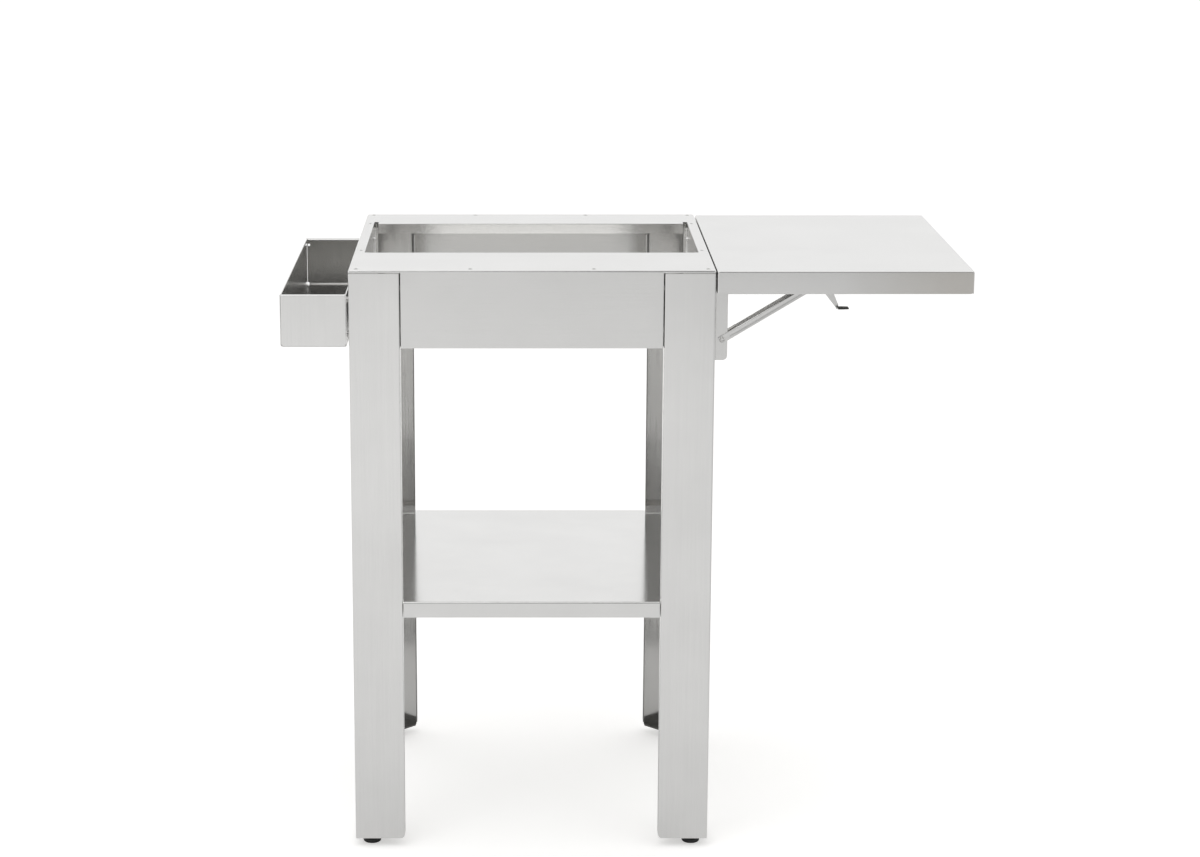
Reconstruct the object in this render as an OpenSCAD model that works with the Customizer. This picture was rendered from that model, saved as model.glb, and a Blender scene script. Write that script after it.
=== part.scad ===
// Grill stand in folded stainless sheet: a deck with a cut-out for a grill on four angle legs,
// a lower shelf, a tray on the left and a side shelf on the right that folds down.
// Millimetres, +Z up, floor at z = 0. The origin is under the middle of the whole object.

/* [Stand] */
// Width of the deck
deck_w = 550; // [480:1:640]
// Depth of the deck
deck_d = 550; // [500:1:640]
// Height of the deck's top above the floor
stand_h = 915; // [820:1:1000]
// Outside radius of the folds
fold_r = 2.5; // [2.1:0.1:4]

/* [Deck] */
// Thickness of the deck's sheet
deck_t = 1.5; // [1:0.1:2]
// Width of the deck in front of the cut-out
front_rail = 160; // [60:1:180]
// Width of the deck behind the cut-out
rear_rail = 100; // [60:1:140]
// Width of the deck on each side of the cut-out
side_rail = 16.5; // [14:0.5:24]
// Height of the aprons
apron_h = 119; // [110:1:160]
// Width of the flange at each end of an apron
end_flange = 20; // [18:0.5:28]
// Height of the deck's edge over the legs
edge_h = 4.5; // [4:0.1:8]
// Depth of the flanges at the sides of the cut-out
side_flange = 60; // [40:1:100]
// Depth of the flanges at the front and rear of the cut-out
rear_flange = 17; // [8:0.5:40]
// Width of the relief in the rear corners of the cut-out
relief_w = 7; // [4:0.5:10]
// Depth of the relief in the rear corners of the cut-out
relief_d = 13; // [4:0.5:20]
// Distance of the deck's screws from the deck's edges
screw_inset = 11.5; // [10:0.1:14]
// Distance between the two middle screws of a rail
screw_pitch = 185; // [100:1:220]
// Diameter of the four holes beside the cut-out
grill_hole_d = 4.2; // [3:0.1:6]
// Distance of the holes beside the cut-out from the deck's sides
grill_hole_inset = 10; // [8:0.1:12]
// Distance from the deck's rear edge to the rear holes
grill_hole_rear = 102; // [80:1:120]
// Distance between the front and rear holes
grill_hole_pitch = 268; // [200:1:290]
// Distance from the cut-out's rear edge to the rear bolts in its side flanges
rail_bolt_rear = 25; // [15:1:40]
// Distance between the bolts in a side flange of the cut-out
rail_bolt_pitch = 200; // [100:1:220]
// Depth of those bolts below the deck's top
rail_bolt_drop = 22.5; // [12:0.5:30]
// Gap between the flanges that meet in a relief
relief_gap = 1; // [0.5:0.1:2]

/* [Stiffening angles] */
// Length of the angles behind the front and rear aprons
angle_l = 300; // [260:1:340]
// Width of the angles' legs
angle_w = 24; // [20:0.5:32]
// Thickness of the angles
angle_t = 1.5; // [1:0.1:2]

/* [Legs] */
// Width of a leg's face
leg_w = 77; // [66:0.5:84]
// Thickness of a leg's sheet
leg_t = 1.5; // [1:0.1:2]
// Depth of the lips along a leg's edges
leg_lip = 20; // [18:0.5:28]
// Gap between a leg and the aprons
leg_gap = 0.8; // [0.5:0.1:4]
// Gap between a leg's top and the deck's edge
leg_top_gap = 1; // [0.3:0.1:2]
// Radius of a lip's bottom corner
leg_round = 7; // [2:0.5:12]
// Side of the bracket in the top of a leg
cap_w = 40; // [34:0.5:50]
// Height of that bracket
cap_h = 20; // [14:0.5:26]
// Thickness of that bracket
cap_t = 2; // [1:0.1:2.5]
// Thickness of the plate across the bottom of a leg
sole_t = 3; // [2:0.1:5]

/* [Feet] */
// Height of the leg's bottom above the floor
foot_h = 13; // [11:0.5:20]
// Diameter of a glide
glide_d = 28; // [20:0.5:34]
// Height of a glide's disc
glide_h = 8; // [5:0.5:9]
// Diameter of a glide's neck
neck_d = 14; // [11:0.5:18]
// Diameter of a foot's stem
stem_d = 8; // [6:0.5:9]
// Length of the stem above the leg's bottom
stem_l = 40; // [25:1:70]
// Distance of a foot from the leg's two outer faces
foot_inset = 24.5; // [20:0.5:28]

/* [Lower shelf] */
// Height of the lower shelf's top above the floor
low_h = 399; // [200:1:600]
// Thickness of the lower shelf's sheet
low_t = 1.2; // [0.8:0.1:2]
// Height of the lower shelf's lip
low_lip = 25; // [20:0.5:40]
// Height of the upturned tabs at the legs
low_tab = 13; // [5:0.5:25]
// Gap between those tabs and the legs' lips
low_gap = 1; // [0.3:0.1:3]

/* [Tray] */
// Width of the tray
tray_w = 100; // [60:1:160]
// Height of the tray
tray_h = 80; // [60:1:110]
// Distance of the tray's ends from the deck's front and rear
tray_inset = 7.5; // [0:0.5:20]
// Depth of the tray's rim below the deck's top
tray_drop = 39; // [30:1:60]
// Thickness of the tray's sheet
tray_t = 1.2; // [0.8:0.1:2]
// Width of the tray's rim flange at its two ends
tray_rim = 8; // [4:0.5:12]
// Depth of the rims' turned-down inner edge
tray_nose = 4; // [2:0.5:8]
// Height of the hem along the tray's long walls
tray_hem = 8; // [4:0.5:12]
// Gap between the tray and the legs
tray_gap = 3.5; // [2:0.1:6]
// Diameter of the holes in the tray's rear wall
tray_hole_d = 4; // [3:0.1:6]
// Distance of those holes from the tray's long walls' outer faces
tray_hole_inset = 4.5; // [4.5:0.5:20]
// Depth of those holes below the tray's rim
tray_hole_drop = 12; // [11:0.5:20]
// Width of the slits in the tray's folded corners
tray_slit = 0.6; // [0.3:0.1:1]
// Diameter of the relief at the foot of each slit
tray_relief = 4; // [2:0.1:6]
// Depth of the tray's upper bolts below its rim
tray_bolt_drop = 13; // [12.5:0.5:16]
// Distance between the tray's upper and lower bolts
tray_bolt_pitch = 52; // [20:1:60]

/* [Side shelf] */
// Length of the side shelf from the stand outwards
pan_l = 384; // [300:1:450]
// Distance of the shelf's ends from the deck's front and rear
pan_inset = 0; // [0:0.5:8]
// Height of the shelf's skirt
pan_h = 35; // [34:0.1:35.5]
// Thickness of the shelf's sheet
pan_t = 1.2; // [0.8:0.1:1.5]
// Gap between the deck and the shelf
pan_gap = 2; // [1.8:0.1:2.6]
// Depth of the shelf's top below the deck's top
pan_drop = 1.5; // [0:0.1:3]
// Height of the hem inside the skirt's bottom edge
pan_hem = 6; // [4:0.5:10]
// Length of the stiffener under the shelf
stiff_l = 400; // [200:1:440]
// Width of the stiffener
stiff_w = 50; // [30:1:70]
// Height of the stiffener
stiff_h = 14; // [8:0.5:22]
// Thickness of the stiffener
stiff_t = 1.2; // [0.8:0.1:2]
// Distance of the stiffener from the shelf's outer end
stiff_inset = 40; // [20:1:60]

/* [Folding brackets] */
// Distance of a bracket's middle from the leg's outer face
bracket_inset = 35; // [33:0.5:38]
// Width of a leaf
leaf_w = 21; // [20:0.5:22]
// Thickness of a leaf's sheet
leaf_t = 2; // [1.5:0.1:2.5]
// Reach of a leaf from the leg
leaf_reach = 20; // [19:0.5:22]
// Depth of a leaf's bottom below the deck's top
leaf_drop = 142; // [136:1:150]
// Radius of a leaf's bottom corner
leaf_round = 7; // [3:0.5:12]
// Height of the lower leaf bolt above the leaf's bottom
leaf_bolt_rise = 15; // [13:0.5:17]
// Radius of a leaf's ear round the hinge pin
ear_r = 8.5; // [6.5:0.1:9]
// Distance of the hinge pin from the leg
hinge_out = 15; // [14.8:0.1:16]
// Depth of the hinge pin below the shelf's top
hinge_drop = 29; // [28.6:0.1:29.4]
// Diameter of the hinge pin
hinge_d = 6; // [5:0.1:7]
// Diameter of the hinge pin's heads
hinge_head_d = 10; // [8:0.1:12]
// Height of the hinge pin's heads
hinge_head_h = 2; // [1:0.1:3]
// Distance of the strut's rivet from the leg
pivot_out = 12; // [11:0.1:13]
// Depth of the strut's rivet below the deck's top
pivot_drop = 110; // [106:0.5:114]
// Diameter of the strut's rivet
rivet_d = 6; // [5:0.1:7]
// Diameter of the rivet's heads
rivet_head_d = 9.4; // [8:0.1:11]
// Height of the heads of the rivet and of the lever's pin
rivet_head_h = 1.6; // [1:0.1:2.4]
// Distance of the slide pin from the hinge pin with the shelf up
catch_run = 128; // [120:0.5:136]
// Angle that the shelf folds down
fold_angle = 84; // [70:0.5:84]
// Diameter of the slide pin
slide_d = 6; // [5:0.1:6.5]
// Thickness of a strut's sheet
strut_t = 1.5; // [1:0.1:2]
// Height of a strut's section
strut_h = 11; // [9:0.1:12]
// Diameter of a strut's rounded ends
strut_eye = 12.5; // [11.5:0.1:13]
// Distance from the rivet to where a strut's web starts
strut_web = 28; // [27:0.5:34]
// Thickness of an arm's sheet
arm_t = 1.5; // [1:0.1:2]
// Length of an arm past the end of its slot
arm_tail = 10; // [6:0.5:16]
// Distance of an arm's bottom edge below the hinge pin
arm_lip = 5.7; // [5.5:0.1:6]
// Radius of an arm's end round the hinge pin
arm_nose = 6.5; // [5.8:0.1:7]
// Distance from the hinge pin to the first stud of an arm
stud_run = 24; // [20:0.5:40]
// Distance of the last stud from an arm's end
stud_end = 18; // [10:0.5:30]
// Side clearance between a leaf and its notch in the pan's end skirt
notch_side = 3.6; // [2:0.1:5]
// Clearance between a leaf's top and that notch
notch_top = 2.4; // [1:0.1:3]

/* [Release levers] */
// Distance of the lever's pin from the hinge pin along the arm
lever_run = 155; // [152:0.5:160]
// Height of the lever's pin above the slot's middle
lever_rise = 10; // [9.5:0.1:12]
// Thickness of a lever
lever_t = 2; // [1.5:0.1:2.5]
// Width of a lever at the shelf's bottom edge
lever_w = 14; // [11:0.5:16]
// Height of the lever's nose behind the slide pin
lever_nose = 6; // [4:0.1:7]
// Distance from the nose's face to where the lever widens
lever_neck = 8; // [5:0.1:10]
// Height of the lever where it widens
lever_mid = 9; // [7:0.1:12]
// Depth of the finger tab below the slot's middle
tab_drop = 28.8; // [26:0.1:29]
// Distance of the finger tab's root from the hinge pin along the arm
tab_run = 169; // [165:0.5:172]
// Length of the finger tab
tab_l = 16; // [12:0.5:18]
// Width of the finger tab
tab_w = 12; // [9:0.5:14]
// Width of the lever where the finger tab bends off it
tab_root = 4; // [3:0.1:6]
// Length of the finger tab's tip that is only grip
tab_tip = 2; // [1:0.1:3]
// Diameter of the lever's pin
lever_pin_d = 6; // [5:0.1:7]
// Thickness of the grip round the finger tab
grip_t = 0.6; // [0.4:0.1:1]
// Outer diameter of the lever's spring
spring_d = 10.4; // [9.6:0.1:11.5]
// Length of the lever's spring
spring_l = 4.5; // [3:0.1:5]
// Diameter of the spring's wire
wire_d = 1; // [0.6:0.1:1.2]

/* [Fasteners] */
// Diameter of the frame bolts
bolt_d = 6; // [5:0.1:7]
// Diameter of a frame bolt's head
button_d = 10; // [9:0.1:11]
// Height of a frame bolt's head
button_h = 3.3; // [2:0.1:4]
// Depth of the upper frame bolts below the deck's top
bolt_drop = 28; // [26:0.5:32]
// Distance between the upper and lower frame bolts
bolt_pitch = 64; // [40:1:70]
// Diameter of the deck screws, tray bolts and studs
screw_d = 5; // [4:0.1:5.5]
// Diameter of a deck screw's head
head_d = 7.4; // [6.8:0.1:8.4]
// Depth of a deck screw's head below the deck's face
head_sunk = 0.3; // [0.1:0.1:0.5]
// Diameter of the heads of the small bolts
small_head_d = 8; // [7:0.1:9]
// Height of the heads of the small bolts
small_head_h = 2.6; // [1.5:0.1:3.5]
// Height of the heads of the bolts in the cut-out's side flanges
rail_head_h = 4; // [2:0.1:5]
// Diameter of the standoffs beside the cut-out
standoff_d = 8; // [7:0.1:9]
// Length of a bolt past its nut
bolt_past = 2; // [1:0.1:3]
// Outer diameter of the washers on the frame bolts
washer_d = 12; // [10:0.1:13]
// Outer diameter of the tray's spacers
spacer_d = 10; // [8:0.1:12]
// Height of a nut
nut_h = 4; // [3:0.1:5]
// Width across the flats of the large nuts
nut_w = 10; // [9.5:0.1:11]
// Width across the flats of the small nuts
small_nut_w = 8; // [7.5:0.1:9]
// Width across the flats of the nuts on the feet's stems
stem_nut_w = 13; // [12:0.1:14]
// Height of the nuts on the feet's stems
stem_nut_h = 6.5; // [4:0.1:8]

/* [Fits] */
// Clearance of a running pin, on the radius
run_fit = 0.06; // [0.03:0.01:0.09]
// Clearance of a fixed pin, on the radius
hold_fit = 0.02; // [0.01:0.01:0.05]
// Side clearance between a leaf and its strut
strut_fit = 0.5; // [0.4:0.1:0.8]
// Side clearance between a strut and its arm
arm_fit = 2.5; // [2.4:0.1:3]
// Small clearance where parts slide past each other
slip = 0.3; // [0.2:0.05:0.4]

/* [Hidden] */
$fn = 48;

steel = "silver";
plain_steel = "gainsboro";
zinc = "darkgray";
black = "dimgray";
cut = 1;

// Half sizes and levels of the stand
hx = deck_w / 2;
hy = deck_d / 2;
leg_x = hx - leg_w;
leg_y = hy - leg_w;
apron_x = leg_x - leg_gap;
apron_y = leg_y - leg_gap;
under_z = stand_h - deck_t;
apron_z = stand_h - apron_h;
leg_top = stand_h - edge_h - leg_top_gap;
leg_h = leg_top - foot_h;
hole_x = hx - side_rail;
hole_front = front_rail - hy;
hole_rear = hy - rear_rail;
flange_x = hole_x - relief_w;
rail_bolt_z = stand_h - rail_bolt_drop;
standoff_l = side_rail - 2 * deck_t;

// Bolts of the frame lie in the middle of the lips that they join
bolt_r = bolt_d / 2;
lip_mid = (leg_lip + leg_t) / 2;
bolt_zs = [stand_h - bolt_drop, stand_h - bolt_drop - bolt_pitch];

// Tray
tray_x = -hx - tray_gap - tray_w;
tray_y = hy - tray_inset;
tray_top = stand_h - tray_drop;
tray_z = tray_top - tray_h;
tray_bolt_y = hy - leg_w / 2;
tray_bolt_zs = [tray_top - tray_bolt_drop, tray_top - tray_bolt_drop - tray_bolt_pitch];

// The side shelf starts beside the deck; the whole object is centred over the origin
pan_x = hx + pan_gap;
pan_y = hy - pan_inset;
pan_top = stand_h - pan_drop;
pan_under = pan_top - pan_t;
stand_x = -(pan_x + pan_l + tray_x) / 2;

// Bracket: A is the hinge pin, S the strut's rivet, P the slide pin
bracket_y = hy - bracket_inset;
ax = hx + hinge_out;
az = pan_top - hinge_drop;
sx = hx + pivot_out;
sz = stand_h - pivot_drop;
rise = az - sz;
run = ax + catch_run - sx;
strut_l = norm([run, rise]);
strut_tilt = atan2(rise, run);
web_m = hinge_drop - pan_t;

// Distance of the slide pin from the hinge pin when the shelf is folded by an angle a
function slide_run(a) =
    let (b = (ax - sx) * cos(a) - rise * sin(a), c = pow(ax - sx, 2) + rise * rise - strut_l * strut_l)
    -b + sqrt(b * b - c);
slot_end = slide_run(fold_angle);
arm_l = slot_end + arm_tail;

// Half widths of the bracket, from the middle outwards
leaf_y = leaf_w / 2;
strut_in = leaf_y + strut_fit;
strut_y = strut_in + strut_t;
arm_in = strut_y + arm_fit;
arm_y = arm_in + arm_t;
slide_y = arm_in - 3 * slip;
lever_in = arm_y + slip;
lever_y = lever_in + lever_t;
tab_far = tab_run + lever_t / 2;
leaf_top = az + ear_r;
leaf_z = stand_h - leaf_drop;
leaf_bolt_zs = [leaf_z + leaf_bolt_rise, (sz + az) / 2];
stud_runs = [stud_run, arm_l / 2, arm_l - stud_end];

echo(hinge = [ax + stand_x, bracket_y, az], rivet = [sx + stand_x, bracket_y, sz]);
echo(tilt = strut_tilt, strut_l = strut_l, slot_end = slot_end, stand_x = stand_x);
folded = [ax + slot_end * cos(fold_angle) - sx, az - slot_end * sin(fold_angle) - sz];
echo(turn = strut_tilt - atan2(folded[1], folded[0]), lever = [ax + lever_run + stand_x, az + lever_rise]);

// Shared shapes

module stand() {
    translate([stand_x, 0, 0]) children();
}

module four_corners() {
    for (i = [0, 1]) mirror([i, 0, 0])
        for (j = [0, 1]) mirror([0, j, 0])
            children();
}

module front_and_rear() {
    for (j = [0, 1]) mirror([0, j, 0]) children();
}

// A block from one corner to the other
module block(low, high) {
    translate(low) cube(high - low);
}

// The outline of a folded sheet seen end on, its top at zero
module arch(w, h, r) {
    translate([-w / 2, -h]) square([w, h - r]);
    translate([-w / 2 + r, -r]) square([w - 2 * r, r]);
    translate([-w / 2 + r, -r]) circle(r);
    translate([w / 2 - r, -r]) circle(r);
}

// A block whose four top edges are rounded as folds are
module crown(w, d, h, r) {
    intersection() {
        rotate([90, 0, 0]) linear_extrude(d, center = true) arch(w, h, r);
        rotate([90, 0, 90]) linear_extrude(w, center = true) arch(d, h, r);
    }
}

// An open-bottomed pan of folded sheet
module pan(w, d, h, t, r) {
    difference() {
        crown(w, d, h, r);
        translate([-w / 2 + t, -d / 2 + t, -h - cut]) cube([w - 2 * t, d - 2 * t, h + cut - t]);
    }
}

// A button head with its flat at zero, rising along +Z
module button(d, h) {
    ball = (d * d / 4 + h * h) / (2 * h);
    intersection() {
        cylinder(d = d, h = h);
        translate([0, 0, h - ball]) sphere(ball);
    }
}

module hex(w, h) {
    cylinder(d = w / cos(30), h = h, $fn = 6);
}

// A nut from zero along +Z with a clear bore
module nut(w, d, h) {
    difference() {
        hex(w, h);
        translate([0, 0, -cut]) cylinder(r = d / 2 + run_fit, h = h + 2 * cut);
    }
}

module tube(d, bore, h) {
    difference() {
        cylinder(d = d, h = h);
        translate([0, 0, -cut]) cylinder(r = bore / 2 + run_fit, h = h + 2 * cut);
    }
}

// A button-head bolt: head along +Z from zero, shank along -Z
module bolt(d, l) {
    button(button_d, button_h);
    translate([0, 0, -l]) cylinder(d = d, h = l);
}

// Frame bolts run through a leg's lip and the flange beside it.
// Placed in the corner of +X and +Y, head inside the leg, along X and along Y.
module lip_places(zs) {
    for (z = zs) {
        translate([leg_x + leg_t, hy - lip_mid, z]) rotate([0, 90, 0]) children();
        translate([hx - lip_mid, leg_y + leg_t, z]) rotate([-90, 0, 0]) children();
    }
}

module lip_hole(t) {
    translate([0, 0, -leg_t - leg_gap - t - cut])
        cylinder(r = bolt_r + run_fit, h = leg_t + leg_gap + t + 2 * cut);
}

module lip_bolt(t) {
    bolt(bolt_d, leg_t + leg_gap + t + nut_h + bolt_past);
}

module lip_nut(t) {
    translate([0, 0, -leg_t - leg_gap - t - nut_h]) nut(nut_w, bolt_d, nut_h);
}

module lip_washer() {
    translate([0, 0, -leg_t - leg_gap]) tube(washer_d, bolt_d, leg_gap);
}

// Deck

module deck_screw_places() {
    for (x = [screw_pitch / 2, hx - screw_inset])
        translate([x, hy - screw_inset, stand_h]) children();
}

// Countersunk head whose top lies just under the deck's face
module deck_sink(grow) {
    translate([0, 0, -deck_t]) cylinder(d1 = screw_d + 2 * grow, d2 = head_d + 2 * grow, h = deck_t);
}

module grill_hole_places() {
    for (i = [0, 1]) mirror([i, 0, 0])
        for (y = [0, grill_hole_pitch])
            translate([hx - grill_hole_inset, hy - grill_hole_rear - y, stand_h]) children();
}

module rail_bolt_places() {
    for (i = [0, 1]) mirror([i, 0, 0])
        for (y = [0, rail_bolt_pitch])
            translate([hole_x, hole_rear - rail_bolt_rear - y, rail_bolt_z]) rotate([0, -90, 0]) children();
}

module end_flanges(x, y, t, low, high) {
    four_corners() {
        block([x - t, hy - end_flange, low], [x, hy - t / 2, high]);
        block([hx - end_flange, y - t, low], [hx - t / 2, y, high]);
    }
}

module top_deck() {
    flange_top = under_z + deck_t / 2;
    color(steel) stand() difference() {
        union() {
            translate([0, 0, stand_h]) difference() {
                pan(deck_w, deck_d, apron_h, deck_t, fold_r);
                four_corners() {
                    block([leg_x, leg_y, -apron_h - cut], [hx + cut, hy + cut, -edge_h]);
                    block([apron_x, hy - deck_t - cut, -apron_h - cut], [leg_x + slip, hy + cut, -fold_r]);
                    block([hx - deck_t - cut, apron_y, -apron_h - cut], [hx + cut, leg_y + slip, -fold_r]);
                }
                block([-hole_x, hole_front, -deck_t - cut], [hole_x, hole_rear, cut]);
                for (i = [0, 1]) mirror([i, 0, 0])
                    block([flange_x, hole_rear - cut, -deck_t - cut], [hole_x, hole_rear + relief_d, cut]);
            }
            end_flanges(apron_x, apron_y, deck_t, apron_z, under_z - fold_r);
            for (i = [0, 1]) mirror([i, 0, 0]) {
                block([hole_x, hole_front, stand_h - side_flange], [hole_x + deck_t, hole_rear, flange_top]);
                block([flange_x + relief_gap, hole_rear - deck_t, stand_h - side_flange],
                    [hole_x + deck_t, hole_rear, under_z - fold_r - relief_w / 2]);
            }
            for (y = [hole_front - deck_t, hole_rear])
                block([-flange_x, y, stand_h - rear_flange], [flange_x, y + deck_t, flange_top]);
        }
        front_and_rear() for (i = [0, 1]) mirror([i, 0, 0]) deck_screw_places() {
            deck_sink(run_fit);
            cylinder(d = head_d + 2 * run_fit, h = cut);
        }
        grill_hole_places() translate([0, 0, -deck_t - cut])
            cylinder(d = grill_hole_d, h = deck_t + 2 * cut);
        rail_bolt_places() translate([0, 0, -deck_t - cut])
            cylinder(r = screw_d / 2 + run_fit, h = deck_t + 2 * cut);
        four_corners() lip_places(bolt_zs) lip_hole(deck_t);
    }
}

module stiffening_angles() {
    color(plain_steel) stand() front_and_rear() difference() {
        union() {
            block([-angle_l / 2, hy - deck_t - angle_w, under_z - angle_t],
                [angle_l / 2, hy - deck_t, under_z]);
            block([-angle_l / 2, hy - deck_t - angle_t, under_z - angle_w],
                [angle_l / 2, hy - deck_t, under_z]);
        }
        for (x = [-1, 1]) translate([x * screw_pitch / 2, hy - screw_inset, under_z - angle_t - cut])
            cylinder(r = screw_d / 2 + run_fit, h = angle_t + 2 * cut);
    }
}

module deck_screws() {
    shank = deck_t + max(cap_t, angle_t) + nut_h + bolt_past;
    color(zinc) stand() four_corners() deck_screw_places() {
        difference() {
            deck_sink(0);
            translate([0, 0, -head_sunk]) cylinder(d = head_d + cut, h = deck_t);
        }
        translate([0, 0, -shank]) cylinder(d = screw_d, h = shank - deck_t / 2);
    }
}

module deck_nuts() {
    color(zinc) stand() four_corners() {
        translate([screw_pitch / 2, hy - screw_inset, under_z - angle_t - nut_h])
            nut(small_nut_w, screw_d, nut_h);
        translate([hx - screw_inset, hy - screw_inset, under_z - cap_t - nut_h])
            nut(small_nut_w, screw_d, nut_h);
    }
}

module rail_bolts() {
    l = deck_t + standoff_l / 2;
    color(zinc) stand() rail_bolt_places() {
        button(small_head_d, rail_head_h);
        translate([0, 0, -l]) cylinder(d = screw_d, h = l);
    }
}

module rail_standoffs() {
    bore = standoff_l / 2 + slip;
    color(zinc) stand() rail_bolt_places() difference() {
        translate([0, 0, -deck_t - standoff_l]) cylinder(d = standoff_d, h = standoff_l);
        translate([0, 0, -deck_t - bore]) cylinder(r = screw_d / 2 + run_fit, h = bore + cut);
    }
}

// Legs

// One leg in the corner of +X and +Y, from its bottom up; holes are cut by the caller's children
module leg() {
    difference() {
        union() {
            block([hx - leg_t, leg_y, foot_h], [hx, hy - fold_r, leg_top]);
            block([leg_x, hy - leg_t, foot_h], [hx - fold_r, hy, leg_top]);
            intersection() {
                translate([hx - fold_r, hy - fold_r, foot_h]) cylinder(r = fold_r, h = leg_h);
                difference() {
                    block([hx - fold_r, hy - fold_r, foot_h], [hx, hy, leg_top]);
                    block([hx - fold_r - cut, hy - fold_r - cut, foot_h - cut],
                        [hx - leg_t, hy - leg_t, leg_top + cut]);
                }
            }
            block([leg_x, hy - leg_lip, foot_h], [leg_x + leg_t, hy, leg_top]);
            block([hx - leg_lip, leg_y, foot_h], [hx, leg_y + leg_t, leg_top]);
        }
        // Rounded bottom corners of the two faces
        corner_cut([leg_x, hy, foot_h], 0);
        corner_cut([hx, leg_y, foot_h], 90);
        lip_places(bolt_zs) lip_hole(0);
        lip_places([low_h - low_lip / 2]) lip_hole(0);
        children();
    }
}

// Rounds the bottom corner of a face; turn is 0 for a face along X and 90 for one along Y
module corner_cut(corner, turn) {
    translate(corner) mirror([turn == 0 ? 0 : 1, turn == 0 ? 0 : -1, 0]) difference() {
        block([-cut, -leg_lip - cut, -cut], [leg_round, cut, leg_round]);
        translate([leg_round, cut + cut, leg_round]) rotate([90, 0, 0])
            cylinder(r = leg_round, h = leg_lip + 4 * cut);
    }
}

// Holes through the side face of a leg, along X
module side_holes(y, zs, d) {
    for (z = zs) translate([hx - leg_t - cut, y, z]) rotate([0, 90, 0])
        cylinder(r = d / 2 + run_fit, h = leg_t + 2 * cut);
}

module leg_left(flip) {
    color(steel) stand() mirror([1, 0, 0]) mirror([0, flip, 0])
        leg() side_holes(tray_bolt_y, tray_bolt_zs, screw_d);
}

module leg_right(flip) {
    color(steel) stand() mirror([0, flip, 0])
        leg() side_holes(bracket_y, leaf_bolt_zs, bolt_d);
}

module leg_front_left() { leg_left(1); }
module leg_rear_left() { leg_left(0); }
module leg_front_right() { leg_right(1); }
module leg_rear_right() { leg_right(0); }

// Brackets that join the legs' tops to the deck
module leg_caps() {
    inx = hx - max(leg_t, deck_t);
    iny = hy - max(leg_t, deck_t);
    color(plain_steel) stand() four_corners() difference() {
        union() {
            block([inx - cap_w, iny - cap_w, under_z - cap_t], [inx, iny, under_z]);
            block([inx - cap_t, iny - cap_w, under_z - cap_h], [inx, iny, under_z]);
            block([inx - cap_w, iny - cap_t, under_z - cap_h], [inx, iny, under_z]);
        }
        translate([hx - screw_inset, hy - screw_inset, under_z - cap_t - cut])
            cylinder(r = screw_d / 2 + run_fit, h = cap_t + 2 * cut);
    }
}

// Plates across the bottoms of the legs, cut along the diagonal between the lips
module leg_soles() {
    inx = hx - leg_t;
    iny = hy - leg_t;
    lipx = leg_x + leg_t;
    lipy = leg_y + leg_t;
    color(plain_steel) stand() four_corners() difference() {
        translate([0, 0, foot_h]) linear_extrude(sole_t)
            polygon([[lipx, iny], [inx, iny], [inx, lipy], [hx - leg_lip, lipy], [lipx, hy - leg_lip]]);
        translate([hx - foot_inset, hy - foot_inset, foot_h - cut])
            cylinder(r = stem_d / 2 + run_fit, h = sole_t + 2 * cut);
        corner_cut([leg_x, hy, foot_h], 0);
        corner_cut([hx, leg_y, foot_h], 90);
    }
}

module sole_nuts() {
    color(zinc) stand() four_corners()
        translate([hx - foot_inset, hy - foot_inset, foot_h + sole_t])
            nut(stem_nut_w, stem_d, stem_nut_h);
}

// Joints between legs, aprons and lower shelf

module frame_bolts() {
    color(zinc) stand() four_corners() lip_places(bolt_zs) lip_bolt(deck_t);
}

module frame_nuts() {
    color(zinc) stand() four_corners() lip_places(bolt_zs) lip_nut(deck_t);
}

module frame_washers() {
    color(zinc) stand() four_corners() lip_places(bolt_zs) lip_washer();
}

module shelf_bolts() {
    color(zinc) stand() four_corners() lip_places([low_h - low_lip / 2]) lip_bolt(low_t);
}

module shelf_nuts() {
    color(zinc) stand() four_corners() lip_places([low_h - low_lip / 2]) lip_nut(low_t);
}

module shelf_washers() {
    color(zinc) stand() four_corners() lip_places([low_h - low_lip / 2]) lip_washer();
}

// Lower shelf

module lower_shelf() {
    low_z = low_h - low_lip;
    inx = hx - leg_lip - low_gap;
    iny = hy - leg_lip - low_gap;
    color(steel) stand() difference() {
        union() {
            translate([0, 0, low_h]) difference() {
                pan(deck_w, deck_d, low_lip, low_t, fold_r);
                four_corners() {
                    block([apron_x, apron_y, -low_lip - cut], [hx + cut, hy + cut, cut]);
                    block([apron_x, iny, -low_lip - cut], [hx + cut, hy + cut, cut]);
                    block([inx, apron_y, -low_lip - cut], [hx + cut, hy + cut, cut]);
                }
            }
            end_flanges(apron_x, apron_y, low_t, low_z, low_h - low_t / 2);
            block([-inx, -iny, low_h - low_t], [inx, iny, low_h]);
            four_corners() {
                block([leg_x, iny - low_t, low_h - low_t], [inx, iny, low_h + low_tab]);
                block([inx - low_t, leg_y, low_h - low_t], [inx, iny, low_h + low_tab]);
            }
        }
        four_corners() lip_places([low_h - low_lip / 2]) lip_hole(low_t);
    }
}

// Tray

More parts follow.
